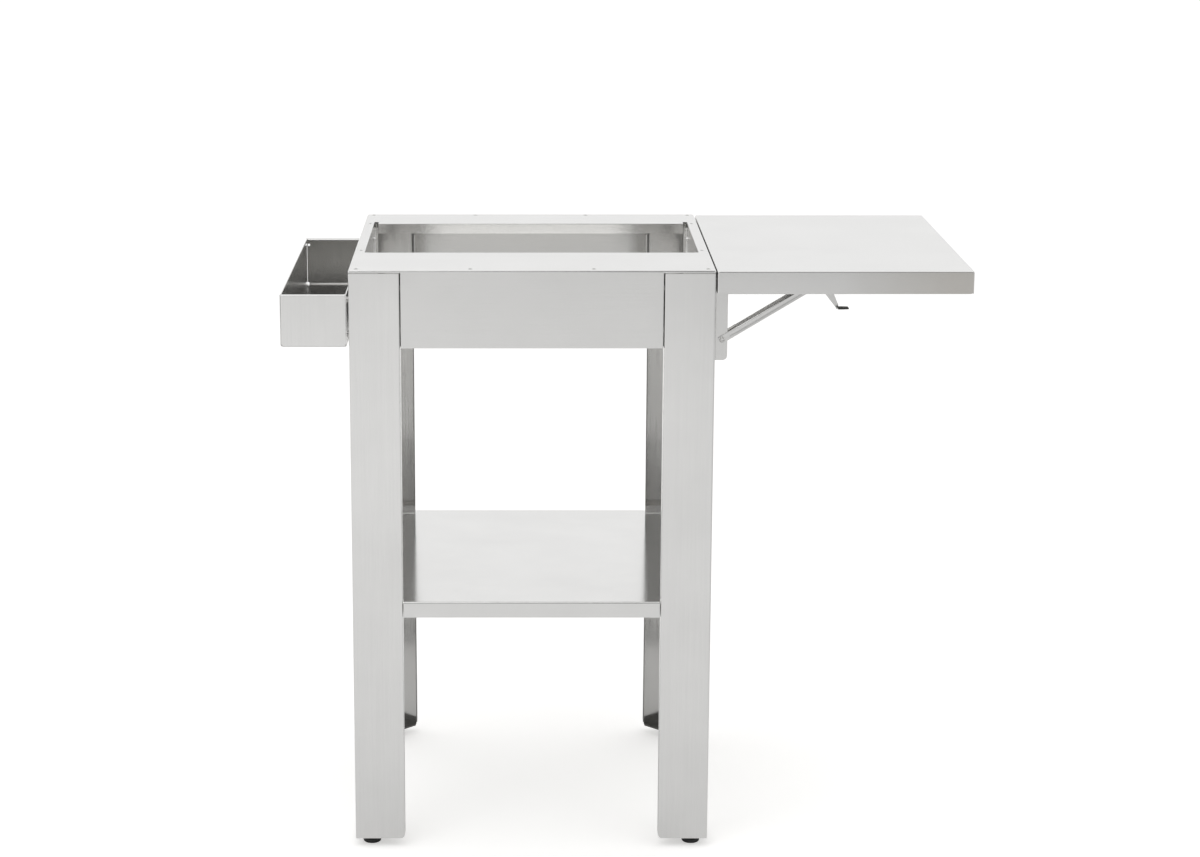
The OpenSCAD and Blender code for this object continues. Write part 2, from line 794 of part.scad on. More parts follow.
module side_tray() {
    tx = tray_x + tray_w;
    color(steel) stand() difference() {
        union() {
            difference() {
                block([tray_x, -tray_y, tray_z], [tx, tray_y, tray_top]);
                block([tray_x + tray_t, -tray_y + tray_t, tray_z + tray_t],
                    [tx - tray_t, tray_y - tray_t, tray_top + cut]);
            }
            front_and_rear() {
                block([tray_x + tray_t / 2, tray_y - tray_rim, tray_top - tray_t],
                    [tx - tray_t / 2, tray_y - tray_t / 2, tray_top]);
                block([tray_x + tray_t / 2, tray_y - tray_rim, tray_top - tray_nose],
                    [tx - tray_t / 2, tray_y - tray_rim + tray_t, tray_top]);
            }
            for (x = [tray_x + tray_t / 2, tx - 2 * tray_t])
                block([x, -tray_y + tray_rim, tray_top - tray_hem],
                    [x + 1.5 * tray_t, tray_y - tray_rim, tray_top]);
        }
        front_and_rear() for (x = [tray_x + tray_t, tx - tray_t]) {
            translate([x, tray_y - tray_t, tray_z - cut]) cylinder(d = tray_relief, h = tray_t + 2 * cut);
            block([x - tray_slit / 2, tray_y - tray_t - tray_slit, tray_z + tray_t],
                [x + tray_slit / 2, tray_y + cut, tray_top - tray_hem]);
        }
        for (x = [tray_x + tray_hole_inset, tx - tray_hole_inset])
            translate([x, tray_y + cut, tray_top - tray_hole_drop]) rotate([90, 0, 0])
                cylinder(d = tray_hole_d, h = tray_t + 2 * cut);
        tray_bolt_places() translate([0, 0, -tray_t - cut])
            cylinder(r = screw_d / 2 + run_fit, h = tray_t + 2 * cut);
    }
}

// On the inner face of the tray's wall, with +Z into the tray
module tray_bolt_places() {
    front_and_rear() for (z = tray_bolt_zs)
        translate([-hx - tray_gap - tray_t, tray_bolt_y, z]) rotate([0, -90, 0]) children();
}

module tray_bolts() {
    l = tray_t + tray_gap + leg_t + nut_h + bolt_past;
    color(zinc) stand() tray_bolt_places() {
        button(small_head_d, small_head_h);
        translate([0, 0, -l]) cylinder(d = screw_d, h = l);
    }
}

module tray_spacers() {
    color(zinc) stand() tray_bolt_places()
        translate([0, 0, -tray_t - tray_gap]) tube(spacer_d, screw_d, tray_gap);
}

module tray_nuts() {
    color(zinc) stand() tray_bolt_places()
        translate([0, 0, -tray_t - tray_gap - leg_t - nut_h]) nut(small_nut_w, screw_d, nut_h);
}

// Side shelf

module side_shelf_pan() {
    mid = pan_x + pan_l / 2;
    low = pan_top - pan_h;
    notch_y = leaf_y + notch_side;
    color(steel) stand() difference() {
        union() {
            translate([mid, 0, pan_top]) pan(pan_l, 2 * pan_y, pan_h, pan_t, fold_r);
            difference() {
                block([pan_x + pan_t / 2, -pan_y + pan_t / 2, low],
                    [pan_x + pan_l - pan_t / 2, pan_y - pan_t / 2, low + pan_hem]);
                block([pan_x + 2 * pan_t, -pan_y + 2 * pan_t, low - cut],
                    [pan_x + pan_l - 2 * pan_t, pan_y - 2 * pan_t, low + pan_hem + cut]);
            }
        }
        // The leaves pass through the end skirt
        front_and_rear() translate([0, bracket_y, az])
            block([hx, -notch_y, -pan_h], [hx + pan_gap + 3 * pan_t, notch_y, ear_r + notch_top]);
    }
}

// Top-hat stiffener welded under the pan's outer end
module shelf_stiffener() {
    x = pan_x + pan_l - pan_t - stiff_inset - stiff_w;
    brim = stiff_w / 5;
    color(plain_steel) stand() translate([x, -stiff_l / 2, pan_under]) {
        for (i = [0, stiff_w - brim]) block([i, 0, -stiff_t], [i + brim, stiff_l, 0]);
        for (i = [brim - stiff_t, stiff_w - brim]) block([i, 0, -stiff_h], [i + stiff_t, stiff_l, 0]);
        block([brim - stiff_t, 0, -stiff_h], [stiff_w - brim + stiff_t, stiff_l, -stiff_h + stiff_t]);
    }
}

// Brackets. Each is drawn with its middle at y = 0 and moved to its leg;
// the rear one mirrors the front one, so both levers are on the outer side.

module at_bracket(rear) {
    stand() mirror([0, rear ? 0 : 1, 0]) translate([0, bracket_y, 0]) children();
}

module both_brackets() {
    at_bracket(false) children();
    at_bracket(true) children();
}

// A disc or pin across the bracket, between two distances from its middle
module across(from, to, d) {
    translate([0, to, 0]) rotate([90, 0, 0]) cylinder(d = d, h = to - from);
}

module hinge_place() {
    translate([ax, 0, az]) children();
}

module pivot_place() {
    translate([sx, 0, sz]) children();
}

module leaf() {
    reach = hx + leaf_reach;
    difference() {
        union() {
            block([hx, -leaf_y, leaf_z + leaf_round], [reach, leaf_y, leaf_top - ear_r]);
            block([hx, -leaf_y, leaf_z], [reach - leaf_round, leaf_y, leaf_z + leaf_round + cut]);
            translate([reach - leaf_round, 0, leaf_z + leaf_round]) across(-leaf_y, leaf_y, 2 * leaf_round);
            block([hx, -leaf_y, leaf_top - ear_r - cut], [ax, leaf_y, leaf_top]);
            hinge_place() across(-leaf_y, leaf_y, 2 * ear_r);
        }
        block([hx + leaf_t, -leaf_y + leaf_t, leaf_z - cut],
            [reach + 2 * ear_r, leaf_y - leaf_t, leaf_top + cut]);
        hinge_place() across(-leaf_y - cut, leaf_y + cut, hinge_d + 2 * run_fit);
        pivot_place() across(-leaf_y - cut, leaf_y + cut, rivet_d + 2 * run_fit);
        for (z = leaf_bolt_zs) translate([hx - cut, 0, z]) rotate([0, 90, 0])
            cylinder(r = bolt_r + run_fit, h = leaf_t + 2 * cut);
    }
}

module bracket_leaf_front() { color(steel) at_bracket(false) leaf(); }
module bracket_leaf_rear() { color(steel) at_bracket(true) leaf(); }

module leaf_bolts() {
    color(zinc) both_brackets() for (z = leaf_bolt_zs)
        translate([hx + leaf_t, 0, z]) rotate([0, 90, 0]) bolt(bolt_d, leaf_t + leg_t + nut_h + bolt_past);
}

module leaf_nuts() {
    color(zinc) both_brackets() for (z = leaf_bolt_zs)
        translate([hx - leg_t - nut_h, 0, z]) rotate([0, 90, 0]) nut(nut_w, bolt_d, nut_h);
}

// A headed pin across the bracket: its head is round and low on both ends
module headed_pin(half, d, head, head_h) {
    across(-half, half, d);
    for (j = [0, 1]) mirror([0, j, 0])
        translate([0, half, 0]) rotate([-90, 0, 0]) button(head, head_h);
}

module hinge_pins() {
    color(zinc) both_brackets() hinge_place() headed_pin(arm_y + slip, hinge_d, hinge_head_d, hinge_head_h);
}

module hinge_bushes() {
    color(zinc) both_brackets() hinge_place() for (j = [0, 1]) mirror([0, j, 0]) difference() {
        across(leaf_y, arm_in - slip / 3, hinge_head_d);
        across(leaf_y - cut, arm_in + cut, hinge_d + 2 * run_fit);
    }
}

module strut_rivets() {
    color(zinc) both_brackets() pivot_place()
        headed_pin(strut_y + slip / 3, rivet_d, rivet_head_d, rivet_head_h);
}

// An arm is a channel with its web against the pan and its lips down
module arm() {
    front = ax - arm_nose;
    back = ax + arm_l;
    web = az + web_m;
    difference() {
        union() {
            block([ax, -arm_y, az - arm_lip], [back, arm_y, web]);
            block([front, -arm_y, az], [back, arm_y, web]);
            hinge_place() across(-arm_y, arm_y, 2 * arm_nose);
        }
        block([front - cut, -arm_in, az - arm_nose - cut], [back + cut, arm_in, web - arm_t]);
        hinge_place() across(-arm_y - cut, arm_y + cut, hinge_d + 2 * run_fit);
        // Slot for the slide pin
        for (s = [catch_run, slot_end])
            translate([ax + s, 0, az]) across(-arm_y - cut, arm_y + cut, slide_d + 2 * slip);
        block([ax + catch_run, -arm_y - cut, az - slide_d / 2 - slip],
            [ax + slot_end, arm_y + cut, az + slide_d / 2 + slip]);
        translate([ax + lever_run, 0, az + lever_rise])
            across(arm_in - cut, arm_y + cut, lever_pin_d + 2 * hold_fit);
        for (s = stud_runs) translate([ax + s, 0, web - arm_t - cut])
            cylinder(r = screw_d / 2 + run_fit, h = arm_t + 2 * cut);
    }
}

module bracket_arm_front() { color(steel) at_bracket(false) arm(); }
module bracket_arm_rear() { color(steel) at_bracket(true) arm(); }

// Studs welded under the pan hold the arms
module shelf_studs() {
    color(zinc) both_brackets() for (s = stud_runs)
        translate([ax + s, 0, pan_under - arm_t - nut_h - bolt_past])
            cylinder(d = screw_d, h = arm_t + nut_h + bolt_past);
}

module stud_nuts() {
    color(zinc) both_brackets() for (s = stud_runs)
        translate([ax + s, 0, pan_under - arm_t - nut_h]) nut(small_nut_w, screw_d, nut_h);
}

// A strut is a channel with its web up; it is drawn level from its rivet and tilted
module strut() {
    half = strut_h / 2;
    pivot_place() rotate([0, -strut_tilt, 0]) difference() {
        union() {
            for (j = [0, 1]) mirror([0, j, 0]) {
                across(strut_in, strut_y, strut_eye);
                translate([strut_l, 0, 0]) across(strut_in, strut_y, strut_eye);
                block([0, strut_in, -half], [strut_l, strut_y, half]);
            }
            block([strut_web, -strut_y, half - strut_t], [strut_l - slide_d / 2, strut_y, half]);
        }
        across(-strut_y - cut, strut_y + cut, rivet_d + 2 * run_fit);
        translate([strut_l, 0, 0]) across(-strut_y - cut, strut_y + cut, slide_d + 2 * hold_fit);
    }
}

module strut_front() { color(steel) at_bracket(false) strut(); }
module strut_rear() { color(steel) at_bracket(true) strut(); }

module slide_pin(rear) {
    color(zinc) at_bracket(rear) translate([ax + catch_run, 0, az]) across(-slide_y, slide_y, slide_d);
}

module slide_pin_front() { slide_pin(false); }
module slide_pin_rear() { slide_pin(true); }

// Lever: a plate beside the arm with a nose behind the slide pin and a bent finger tab
module lever_plate() {
    nose = catch_run + slide_d / 2 + 2 * slip;
    neck = nose + lever_neck;
    near = lever_run - lever_w / 2;
    far = lever_run + lever_w / 2;
    low = hinge_drop - pan_h;
    // Drawn from the hinge pin, with the distance along the arm first
    difference() {
        union() {
            polygon([[nose, lever_nose / 2], [nose, -lever_nose / 2], [neck, -lever_mid / 2], [near, low],
                [tab_far - tab_root, -tab_drop], [tab_far, -tab_drop], [tab_far, -tab_drop + 2 * lever_t],
                [far, low], [far, lever_rise], [near, lever_rise], [neck, lever_mid / 2]]);
            translate([lever_run, lever_rise]) circle(lever_w / 2);
        }
        translate([lever_run, lever_rise]) circle(lever_pin_d / 2 + run_fit);
    }
}

module lever() {
    translate([ax, lever_y, az]) rotate([90, 0, 0]) linear_extrude(lever_t) lever_plate();
    // Finger tab bent outwards
    translate([ax, lever_y - lever_t, az])
        block([tab_far - tab_root, 0, -tab_drop - lever_t / 2],
            [tab_run + tab_l - tab_tip, tab_w, -tab_drop + lever_t / 2]);
}

module release_lever_front() { color(steel) at_bracket(false) lever(); }
module release_lever_rear() { color(steel) at_bracket(true) lever(); }

// Soft black grip pushed over the finger tab
module lever_grip(rear) {
    half = lever_t / 2 + grip_t;
    root = tab_far + lever_t / 2;
    tip = tab_run + tab_l;
    color(black) at_bracket(rear) translate([ax, lever_in, az - tab_drop]) difference() {
        union() {
            block([root, 0, -half], [tip - half, tab_w + grip_t, half]);
            translate([tip - half, 0, 0]) across(0, tab_w + grip_t, 2 * half);
        }
        block([root - cut, -cut, -lever_t / 2], [tip - tab_tip, tab_w, lever_t / 2]);
    }
}

module lever_grip_front() { lever_grip(false); }
module lever_grip_rear() { lever_grip(true); }

module lever_pins() {
    head = lever_y + slip + spring_l;
    color(zinc) both_brackets() translate([ax + lever_run, 0, az + lever_rise]) {
        across(arm_in, head, lever_pin_d);
        translate([0, head, 0]) rotate([-90, 0, 0]) button(spring_d + wire_d, rivet_head_h);
    }
}

module lever_springs() {
    color(zinc) both_brackets() translate([ax + lever_run, 0, az + lever_rise]) difference() {
        across(lever_y + slip / 2, lever_y + slip / 2 + spring_l, spring_d);
        across(lever_y, lever_y + slip + spring_l + cut, spring_d - 2 * wire_d);
    }
}

// Feet

module foot_place(left, front) {
    stand() mirror([left, 0, 0]) mirror([0, front, 0])
        translate([hx - foot_inset, hy - foot_inset, 0]) children();
}

module glide(left, front) {
    bevel = 1.5;
    color(black) foot_place(left, front) difference() {
        union() {
            cylinder(d1 = glide_d - 2 * bevel, d2 = glide_d, h = bevel);
            translate([0, 0, bevel]) cylinder(d = glide_d, h = glide_h - 2 * bevel);
            translate([0, 0, glide_h - bevel]) cylinder(d1 = glide_d, d2 = glide_d - 2 * bevel, h = bevel);
            translate([0, 0, glide_h - cut]) cylinder(d = neck_d, h = foot_h - glide_h + cut);
        }
        translate([0, 0, glide_h / 2]) cylinder(d = stem_d, h = foot_h);
    }
}

module stem(left, front) {
    color(zinc) foot_place(left, front)
        translate([0, 0, glide_h / 2]) cylinder(d = stem_d, h = foot_h - glide_h / 2 + stem_l);
}

module glide_front_left() { glide(1, 1); }
module glide_front_right() { glide(0, 1); }
module glide_rear_left() { glide(1, 0); }
module glide_rear_right() { glide(0, 0); }
module stem_front_left() { stem(1, 1); }
module stem_front_right() { stem(0, 1); }
module stem_rear_left() { stem(1, 0); }
module stem_rear_right() { stem(0, 0); }

top_deck();
leg_front_left();
leg_front_right();
leg_rear_left();
leg_rear_right();
leg_caps();
leg_soles();
stiffening_angles();
lower_shelf();
side_tray();
deck_screws();
deck_nuts();
rail_bolts();
rail_standoffs();
frame_bolts();
frame_nuts();
frame_washers();
shelf_bolts();
shelf_nuts();
shelf_washers();
tray_bolts();
tray_spacers();
tray_nuts();
bracket_leaf_front();
bracket_leaf_rear();
leaf_bolts();
leaf_nuts();
hinge_pins();
hinge_bushes();
strut_rivets();
side_shelf_pan();
shelf_stiffener();
bracket_arm_front();
bracket_arm_rear();
shelf_studs();
stud_nuts();
lever_pins();
lever_springs();
strut_front();
strut_rear();
slide_pin_front();
slide_pin_rear();
release_lever_front();
release_lever_rear();
lever_grip_front();
lever_grip_rear();
glide_front_left();
glide_front_right();
glide_rear_left();
glide_rear_right();
stem_front_left();
stem_front_right();
stem_rear_left();
stem_rear_right();
sole_nuts();
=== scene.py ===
import math

import bmesh
import bpy
from mathutils import Matrix, Vector


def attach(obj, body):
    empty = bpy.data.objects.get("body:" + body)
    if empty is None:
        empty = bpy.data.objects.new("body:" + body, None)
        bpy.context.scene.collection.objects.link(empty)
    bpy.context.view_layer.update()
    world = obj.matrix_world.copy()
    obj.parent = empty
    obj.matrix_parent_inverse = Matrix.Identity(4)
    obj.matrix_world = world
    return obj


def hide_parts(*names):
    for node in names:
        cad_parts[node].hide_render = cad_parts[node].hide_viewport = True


# Grill stand in brushed stainless sheet. Shapes are drawn in millimetres from the middle of the
# stand, with the floor at zero, and moved into the shared frame when a piece is finished.

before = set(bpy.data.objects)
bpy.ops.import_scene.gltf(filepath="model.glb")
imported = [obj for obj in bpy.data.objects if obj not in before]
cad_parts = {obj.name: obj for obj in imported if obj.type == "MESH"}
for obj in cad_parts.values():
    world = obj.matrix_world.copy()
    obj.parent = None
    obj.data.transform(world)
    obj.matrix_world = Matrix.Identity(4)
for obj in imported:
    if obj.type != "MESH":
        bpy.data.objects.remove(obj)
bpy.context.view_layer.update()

MM = 0.001
SIDES = {"front": -1, "rear": 1}

# Stand
CORNERS = {"front_left": (-1, -1), "front_right": (1, -1), "rear_left": (-1, 1), "rear_right": (1, 1)}
HALF = 275
TOP = 915
DECK_T = 1.5
FOLD_R = 2.5
INNER_FOLD_R = 1.6
SMALL_FOLD_R = 1.4
LEG_T = 1.5
LEG_LIP = 20
LEG_IN = 198
LEG_LOW = 13
LEG_TOP = 909.5
LEG_GAP = 0.8
APRON_IN = LEG_IN - LEG_GAP
APRON_LOW = 796
EDGE_LOW = 910.5
END_FLANGE = 20

# Cut-out
HOLE_X = 258.5
HOLE_FRONT = -115
HOLE_REAR = 175
FLANGE_X = HOLE_X - 7
RELIEF_Y = HOLE_REAR + 13
SIDE_FLANGE_LOW = TOP - 60
RETURN_TOP = TOP - 7.5
REAR_FLANGE_LOW = TOP - 17
SIDE_RETURN = 6
SCREW_PLACES = [(i * x, j * 263.5) for i, j in CORNERS.values() for x in (92.5, 263.5)]
GRILL_HOLES = [(i * 265, y) for i in (-1, 1) for y in (173, -95)]
GRILL_HOLE_R = 2.1
RAIL_BOLTS = [(i, y) for i in (-1, 1) for y in (150, -50)]
RAIL_BOLT_Z = TOP - 22.5

# Lower shelf
LOW_Z = 399
LOW_T = 1.2
LOW_EDGE = 4
LOW_LIP = LOW_Z - 25
LOW_TAB = LOW_Z + 13
TAB_LEAN = 0.6
TAB_IN = 252.8
TAB_RELIEF = TAB_IN - 1.5

# Tray
TRAY_X = (-378.5, -278.5)
TRAY_Y = 267.5
TRAY_Z = (796, 876)
TRAY_T = 1.2
TRAY_RIM = 8
TRAY_SPACER = 3.5
TRAY_BOLT_Y = 236.5
TRAY_BOLT_Z = (863, 811)
TRAY_HOLE_R = 2
TRAY_HOLE_IN = 4.5
TRAY_HOLE_DOWN = 12

# Side shelf
PAN_X = (277, 661)
PAN_TOP = 913.5
PAN_LOW = PAN_TOP - 35
PAN_T = 1.2
PAN_HEM = 6
NOTCH_HALF = 14.1
NOTCH_TOP = 895.4

# The shared frame starts under the middle of the whole object, and this is the stand's middle in it
STAND_X = -(TRAY_X[0] + PAN_X[1]) / 2

# Folding brackets
BRACKET_Y = 240
BRACKET_T = 1.5
LEAF_T = 2
LEVER_T = 2
HINGE = (290, 884.5)
RIVET = (287, 805)
SLIDE = (418, HINGE[1])
SLOT_END = 521.57
ARM_END = SLOT_END + 10
WEB_Z = PAN_TOP - PAN_T
STRUT_L = math.dist(RIVET, SLIDE)
STRUT_TILT = math.atan2(SLIDE[1] - RIVET[1], SLIDE[0] - RIVET[0])
STRUT_H = 5.5
LEVER_PIN = (445, 894.5)
TAB = (HINGE[0] + 166, HINGE[1] - 28.8)
LEAF_Y = 10.5
STRUT_Y = 12.5
ARM_IN = 15
ARM_Y = 16.5
LEVER_IN = 16.8
LEVER_Y = LEVER_IN + LEVER_T

# Fasteners
FRAME_BOLT_Z = (887, 823)
SHELF_BOLT_Z = (386.5,)
BIG_BORE = 3.03
SMALL_BORE = 2.53
NUT_H = 4
ANGLE_T = 1.5
CAP_T = 2

# Feet
FOOT = 250.5
STEM_R = 4
STEM_TOP = 53


# Drawing in sheet metal

def near(place, other, reach=0.1):
    return abs(place - other) < reach


def middle(edge):
    return (edge.verts[0].co + edge.verts[1].co) / 2


def cut_through(bm, point, normal, clear=False):
    bmesh.ops.bisect_plane(bm, geom=bm.verts[:] + bm.edges[:] + bm.faces[:], dist=1e-4,
                           plane_co=point, plane_no=normal, clear_outer=clear)


def flat_sheet(xs, ys, z, keep=None):
    """A level sheet divided at every x and y; keep(x, y) says which cells stay."""
    bm = bmesh.new()
    bmesh.ops.create_grid(bm, x_segments=1, y_segments=1, size=0.5)
    bmesh.ops.scale(bm, vec=(xs[-1] - xs[0], ys[-1] - ys[0], 1), verts=bm.verts)
    bmesh.ops.translate(bm, vec=((xs[-1] + xs[0]) / 2, (ys[-1] + ys[0]) / 2, z), verts=bm.verts)
    for x in xs[1:-1]:
        cut_through(bm, (x, 0, z), (1, 0, 0))
    for y in ys[1:-1]:
        cut_through(bm, (0, y, z), (0, 1, 0))
    if keep:
        gone = [f for f in bm.faces if not keep(*f.calc_center_median().xy)]
        bmesh.ops.delete(bm, geom=gone, context="FACES")
    return bm


def free_edges(bm, test):
    """The open edges whose middle passes test(x, y, z)."""
    return [e for e in bm.edges if e.is_boundary and test(*middle(e))]


def fold_off(bm, edges, reach):
    """Folds a strip off these open edges and gives the strip's far edges."""
    new = bmesh.ops.extrude_edge_only(bm, edges=edges)["geom"]
    verts = {g for g in new if isinstance(g, bmesh.types.BMVert)}
    bmesh.ops.translate(bm, vec=reach, verts=list(verts))
    return [g for g in new if isinstance(g, bmesh.types.BMEdge) and set(g.verts) <= verts]


def bevel(bm, geom, size, steps, affect="EDGES"):
    bmesh.ops.bevel(bm, geom=geom, offset=size, offset_type="OFFSET", segments=steps, profile=0.5,
                    affect=affect, material=-1)


def round_folds(bm, radius, test=None):
    """Rounds the sharp folds whose middle passes test(x, y, z)."""
    bevel(bm, [e for e in bm.edges if len(e.link_faces) == 2 and e.calc_face_angle(0) > 0.7
               and (test is None or test(*middle(e)))], radius, 4)


def swept(points, reach):
    """The sheet that an open outline leaves behind as it moves by reach."""
    bm = bmesh.new()
    row = [bm.verts.new(point) for point in points]
    fold_off(bm, [bm.edges.new(pair) for pair in zip(row, row[1:])], reach)
    return bm


def outlined(points, rounds=(), y=0):
    """An upright face at y. rounds pairs corner numbers with the radius that each one has."""
    bm = bmesh.new()
    verts = [bm.verts.new((x, y, z)) for x, z in points]
    bm.faces.new(verts)
    for k, radius in rounds:
        bevel(bm, [verts[k]], radius, 5, "VERTICES")
    return bm


def weld(bm):
    bmesh.ops.remove_doubles(bm, verts=bm.verts, dist=1e-3)


def agree(bm):
    bmesh.ops.recalc_face_normals(bm, faces=bm.faces)


def face_out(bm, way):
    """Makes all faces agree, with the one that lies furthest that way facing it."""
    agree(bm)
    way = Vector(way)
    far = max(bm.faces, key=lambda f: f.calc_center_median().dot(way) + abs(f.normal.dot(way)))
    if far.normal.dot(way) < 0:
        bmesh.ops.reverse_faces(bm, faces=bm.faces)


def upward(bm, down=False):
    """Makes all faces agree, with the largest level one facing up, or down."""
    agree(bm)
    level = max((f for f in bm.faces if abs(f.normal.z) > 0.99), key=lambda f: f.calc_area())
    if (level.normal.z < 0) != down:
        bmesh.ops.reverse_faces(bm, faces=bm.faces)


def moved(bm, matrix):
    """Moves a shape through a matrix that may mirror it, with its faces kept facing out."""
    bmesh.ops.transform(bm, matrix=matrix, verts=bm.verts)
    if matrix.determinant() < 0:
        bmesh.ops.reverse_faces(bm, faces=bm.faces)
    return bm


def copy_into(bm, other, matrix=None):
    """Adds other to bm, through the matrix if there is one, and frees it."""
    if matrix is not None:
        moved(other, matrix)
    mesh = bpy.data.meshes.new("passing")
    other.to_mesh(mesh)
    other.free()
    bm.from_mesh(mesh)
    bpy.data.meshes.remove(mesh)


def flip(axis):
    """The matrix that mirrors along an axis, given by its letter."""
    return Matrix.Scale(-1, 4, ["xyz".index(axis) == k for k in range(3)])


def turned(rings, sides=24):
    """A shape spun about Z. A ring is (radius, height), or (radius, height, "hex") where its
    corners lie on a hexagon of that half width across flats."""
    bm = bmesh.new()
    six_sided = bm.verts.layers.int.new("six_sided")
    row = []
    for radius, z, *form in rings:
        row.append(bm.verts.new((radius, 0, z)))
        row[-1][six_sided] = len(form)
    lines = [bm.edges.new(pair) for pair in zip(row, row[1:]) if max(v.co.x for v in pair) > 0]
    bmesh.ops.spin(bm, geom=row + lines, cent=(0, 0, 0), axis=(0, 0, 1), angle=math.tau, steps=sides,
                   use_merge=True)
    weld(bm)
    for v in bm.verts:
        if v[six_sided]:
            turn = math.atan2(v.co.y, v.co.x) % (math.pi / 3) - math.pi / 6
            v.co.xy /= math.cos(turn)
    agree(bm)
    return bm


def both_ends(rings):
    """A turned shape whose upper half has these rings, and its lower half the same."""
    return turned(rings + [(radius, -z) for radius, z in reversed(rings)])


def thicken(bm, depth):
    """Gives an upright face its thickness along Y."""
    new = bmesh.ops.extrude_face_region(bm, geom=bm.faces[:])["geom"]
    far = [g for g in new if isinstance(g, bmesh.types.BMVert)]
    bmesh.ops.translate(bm, vec=(0, depth, 0), verts=far)
    agree(bm)


def block(low, high, edge=0):
    bm = bmesh.new()
    bmesh.ops.create_cube(bm, size=1)
    low, high = Vector(low), Vector(high)
    bmesh.ops.scale(bm, vec=high - low, verts=bm.verts)
    bmesh.ops.translate(bm, vec=(low + high) / 2, verts=bm.verts)
    if edge:
        bevel(bm, bm.edges[:], edge, 2)
    return bm


def at(x, y, z, degrees=0, axis="X"):
    """The matrix that turns a shape about an axis and then moves it to a place."""
    return Matrix.Translation((x, y, z)) @ Matrix.Rotation(math.radians(degrees), 4, axis)


def modify(obj, kind, **settings):
    modifier = obj.modifiers.new(kind, kind)
    for key, value in settings.items():
        setattr(modifier, key, value)


def settle(obj):
    """Makes the shape that the modifiers give the piece's own mesh."""
    deps = bpy.context.evaluated_depsgraph_get()
    mesh = bpy.data.meshes.new_from_object(obj.evaluated_get(deps), depsgraph=deps)
    old = obj.data
    obj.modifiers.clear()
    obj.data = mesh
    bpy.data.meshes.remove(old)
    mesh.name = obj.name


def new_object(bm, name):
    mesh = bpy.data.meshes.new(name)
    bm.to_mesh(mesh)
    bm.free()
    obj = bpy.data.objects.new(name, mesh)
    bpy.context.scene.collection.objects.link(obj)
    return obj


def into_frame(bm):
    bmesh.ops.translate(bm, vec=(STAND_X, 0, 0), verts=bm.verts)
    bmesh.ops.scale(bm, vec=(MM, MM, MM), verts=bm.verts)
    return bm


def finish_piece(name, bm, body, node, material, wall=0, edge=0, cutter=None, sharp=35,
                 back=None, cut=None, hems=(), patches=()):
    """Gives a drawn shape its wall, softened edges, holes, hems and finish, and hangs it on a body
    in place of a node. A sheet's back has a darker copy of the steel, painted shade, and its cut edges are
    dull.
    patches pairs other finishes with tests of the place and the facing of the faces that have them."""
    obj = new_object(into_frame(bm), name)
    obj.data.materials.append(material)
    if wall:
        # By default a sheet's back gets the darker copy, painted shade.
        obj.data.materials.append(back or painted_shade_inside)
        obj.data.materials.append(cut or cut_edges)
        modify(obj, "SOLIDIFY", thickness=wall * MM, offset=-1, use_even_offset=True, material_offset=1,
               material_offset_rim=2)
    if edge:
        modify(obj, "BEVEL", width=edge * MM, segments=2, limit_method="ANGLE",
               angle_limit=math.radians(50), use_clamp_overlap=True)
    if wall or edge:
        settle(obj)
    if cutter:
        tool = new_object(into_frame(cutter), "cutter")
        modify(obj, "BOOLEAN", operation="DIFFERENCE", solver="EXACT", object=tool)
        settle(obj)
        bpy.data.objects.remove(tool)
    if hems:
        joined = bmesh.new()
        joined.from_mesh(obj.data)
        for strip in hems:
            copy_into(joined, into_frame(strip))
        joined.to_mesh(obj.data)
        joined.free()
    for other, test in patches:
        obj.data.materials.append(other)
        for polygon in obj.data.polygons:
            place = polygon.center / MM - Vector((STAND_X, 0, 0))
            if test(place, polygon.normal):
                polygon.material_index = len(obj.data.materials) - 1
    for polygon in obj.data.polygons:
        polygon.use_smooth = True
    obj.data.set_sharp_from_angle(angle=math.radians(sharp))
    modify(obj, "WEIGHTED_NORMAL", keep_sharp=True, weight=90)
    settle(obj)
    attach(obj, body)
    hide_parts(node)


def finish_fastener(node, made, bm, body="stand", material=None, sharp=35):
    """The piece is named after its node and how it is made."""
    finish_piece(node + "_" + made, bm, body, node, material or bright_steel,
                 sharp=sharp)


# Finishes

def feed(tree, node, sockets):
    """Sets a node's inputs, or links them to the outputs of others."""
    for key, value in sockets.items():
        if isinstance(value, bpy.types.NodeSocket):
            tree.links.new(value, node.inputs[key])
        else:
            node.inputs[key].default_value = value


def add_node(tree, kind, sockets=None, **settings):
    node = tree.nodes.new("ShaderNode" + kind)
    for key, value in settings.items():
        setattr(node, key, value)
    feed(tree, node, sockets or {})
    return node


def new_finish(name, metal):
    material = bpy.data.materials.new(name)
    material.use_nodes = True
    tree = material.node_tree
    shader = tree.nodes["Principled BSDF"]
    shader.inputs["Metallic"].default_value = metal
    return material, tree, shader, add_node(tree, "TexCoord").outputs


def worked(tree, operation, first, second=0.0):
    return add_node(tree, "Math", {0: first, 1: second}, operation=operation).outputs[0]


def mixed(tree, factor, first, second):
    return add_node(tree, "Mix", {"Factor": factor, 2: first, 3: second}, data_type="FLOAT").outputs[0]


def split(tree, vector):
    return add_node(tree, "SeparateXYZ", {0: vector}).outputs


def noise(tree, vector, scale, detail, rough):
    return add_node(tree, "TexNoise", {"Vector": vector, "Scale": scale, "Detail": detail,
                                       "Roughness": rough}).outputs["Fac"]


def ranged(tree, value, low, high, start=0.3, end=0.7):
    return add_node(tree, "MapRange", {"Value": value, "From Min": start, "From Max": end,
                                       "To Min": low, "To Max": high}).outputs["Result"]


def tinted(tree, factor, dark, light):
    colours = {"Factor": factor, 6: (*dark, 1), 7: (*light, 1)}
    return add_node(tree, "Mix", colours, data_type="RGBA").outputs[2]


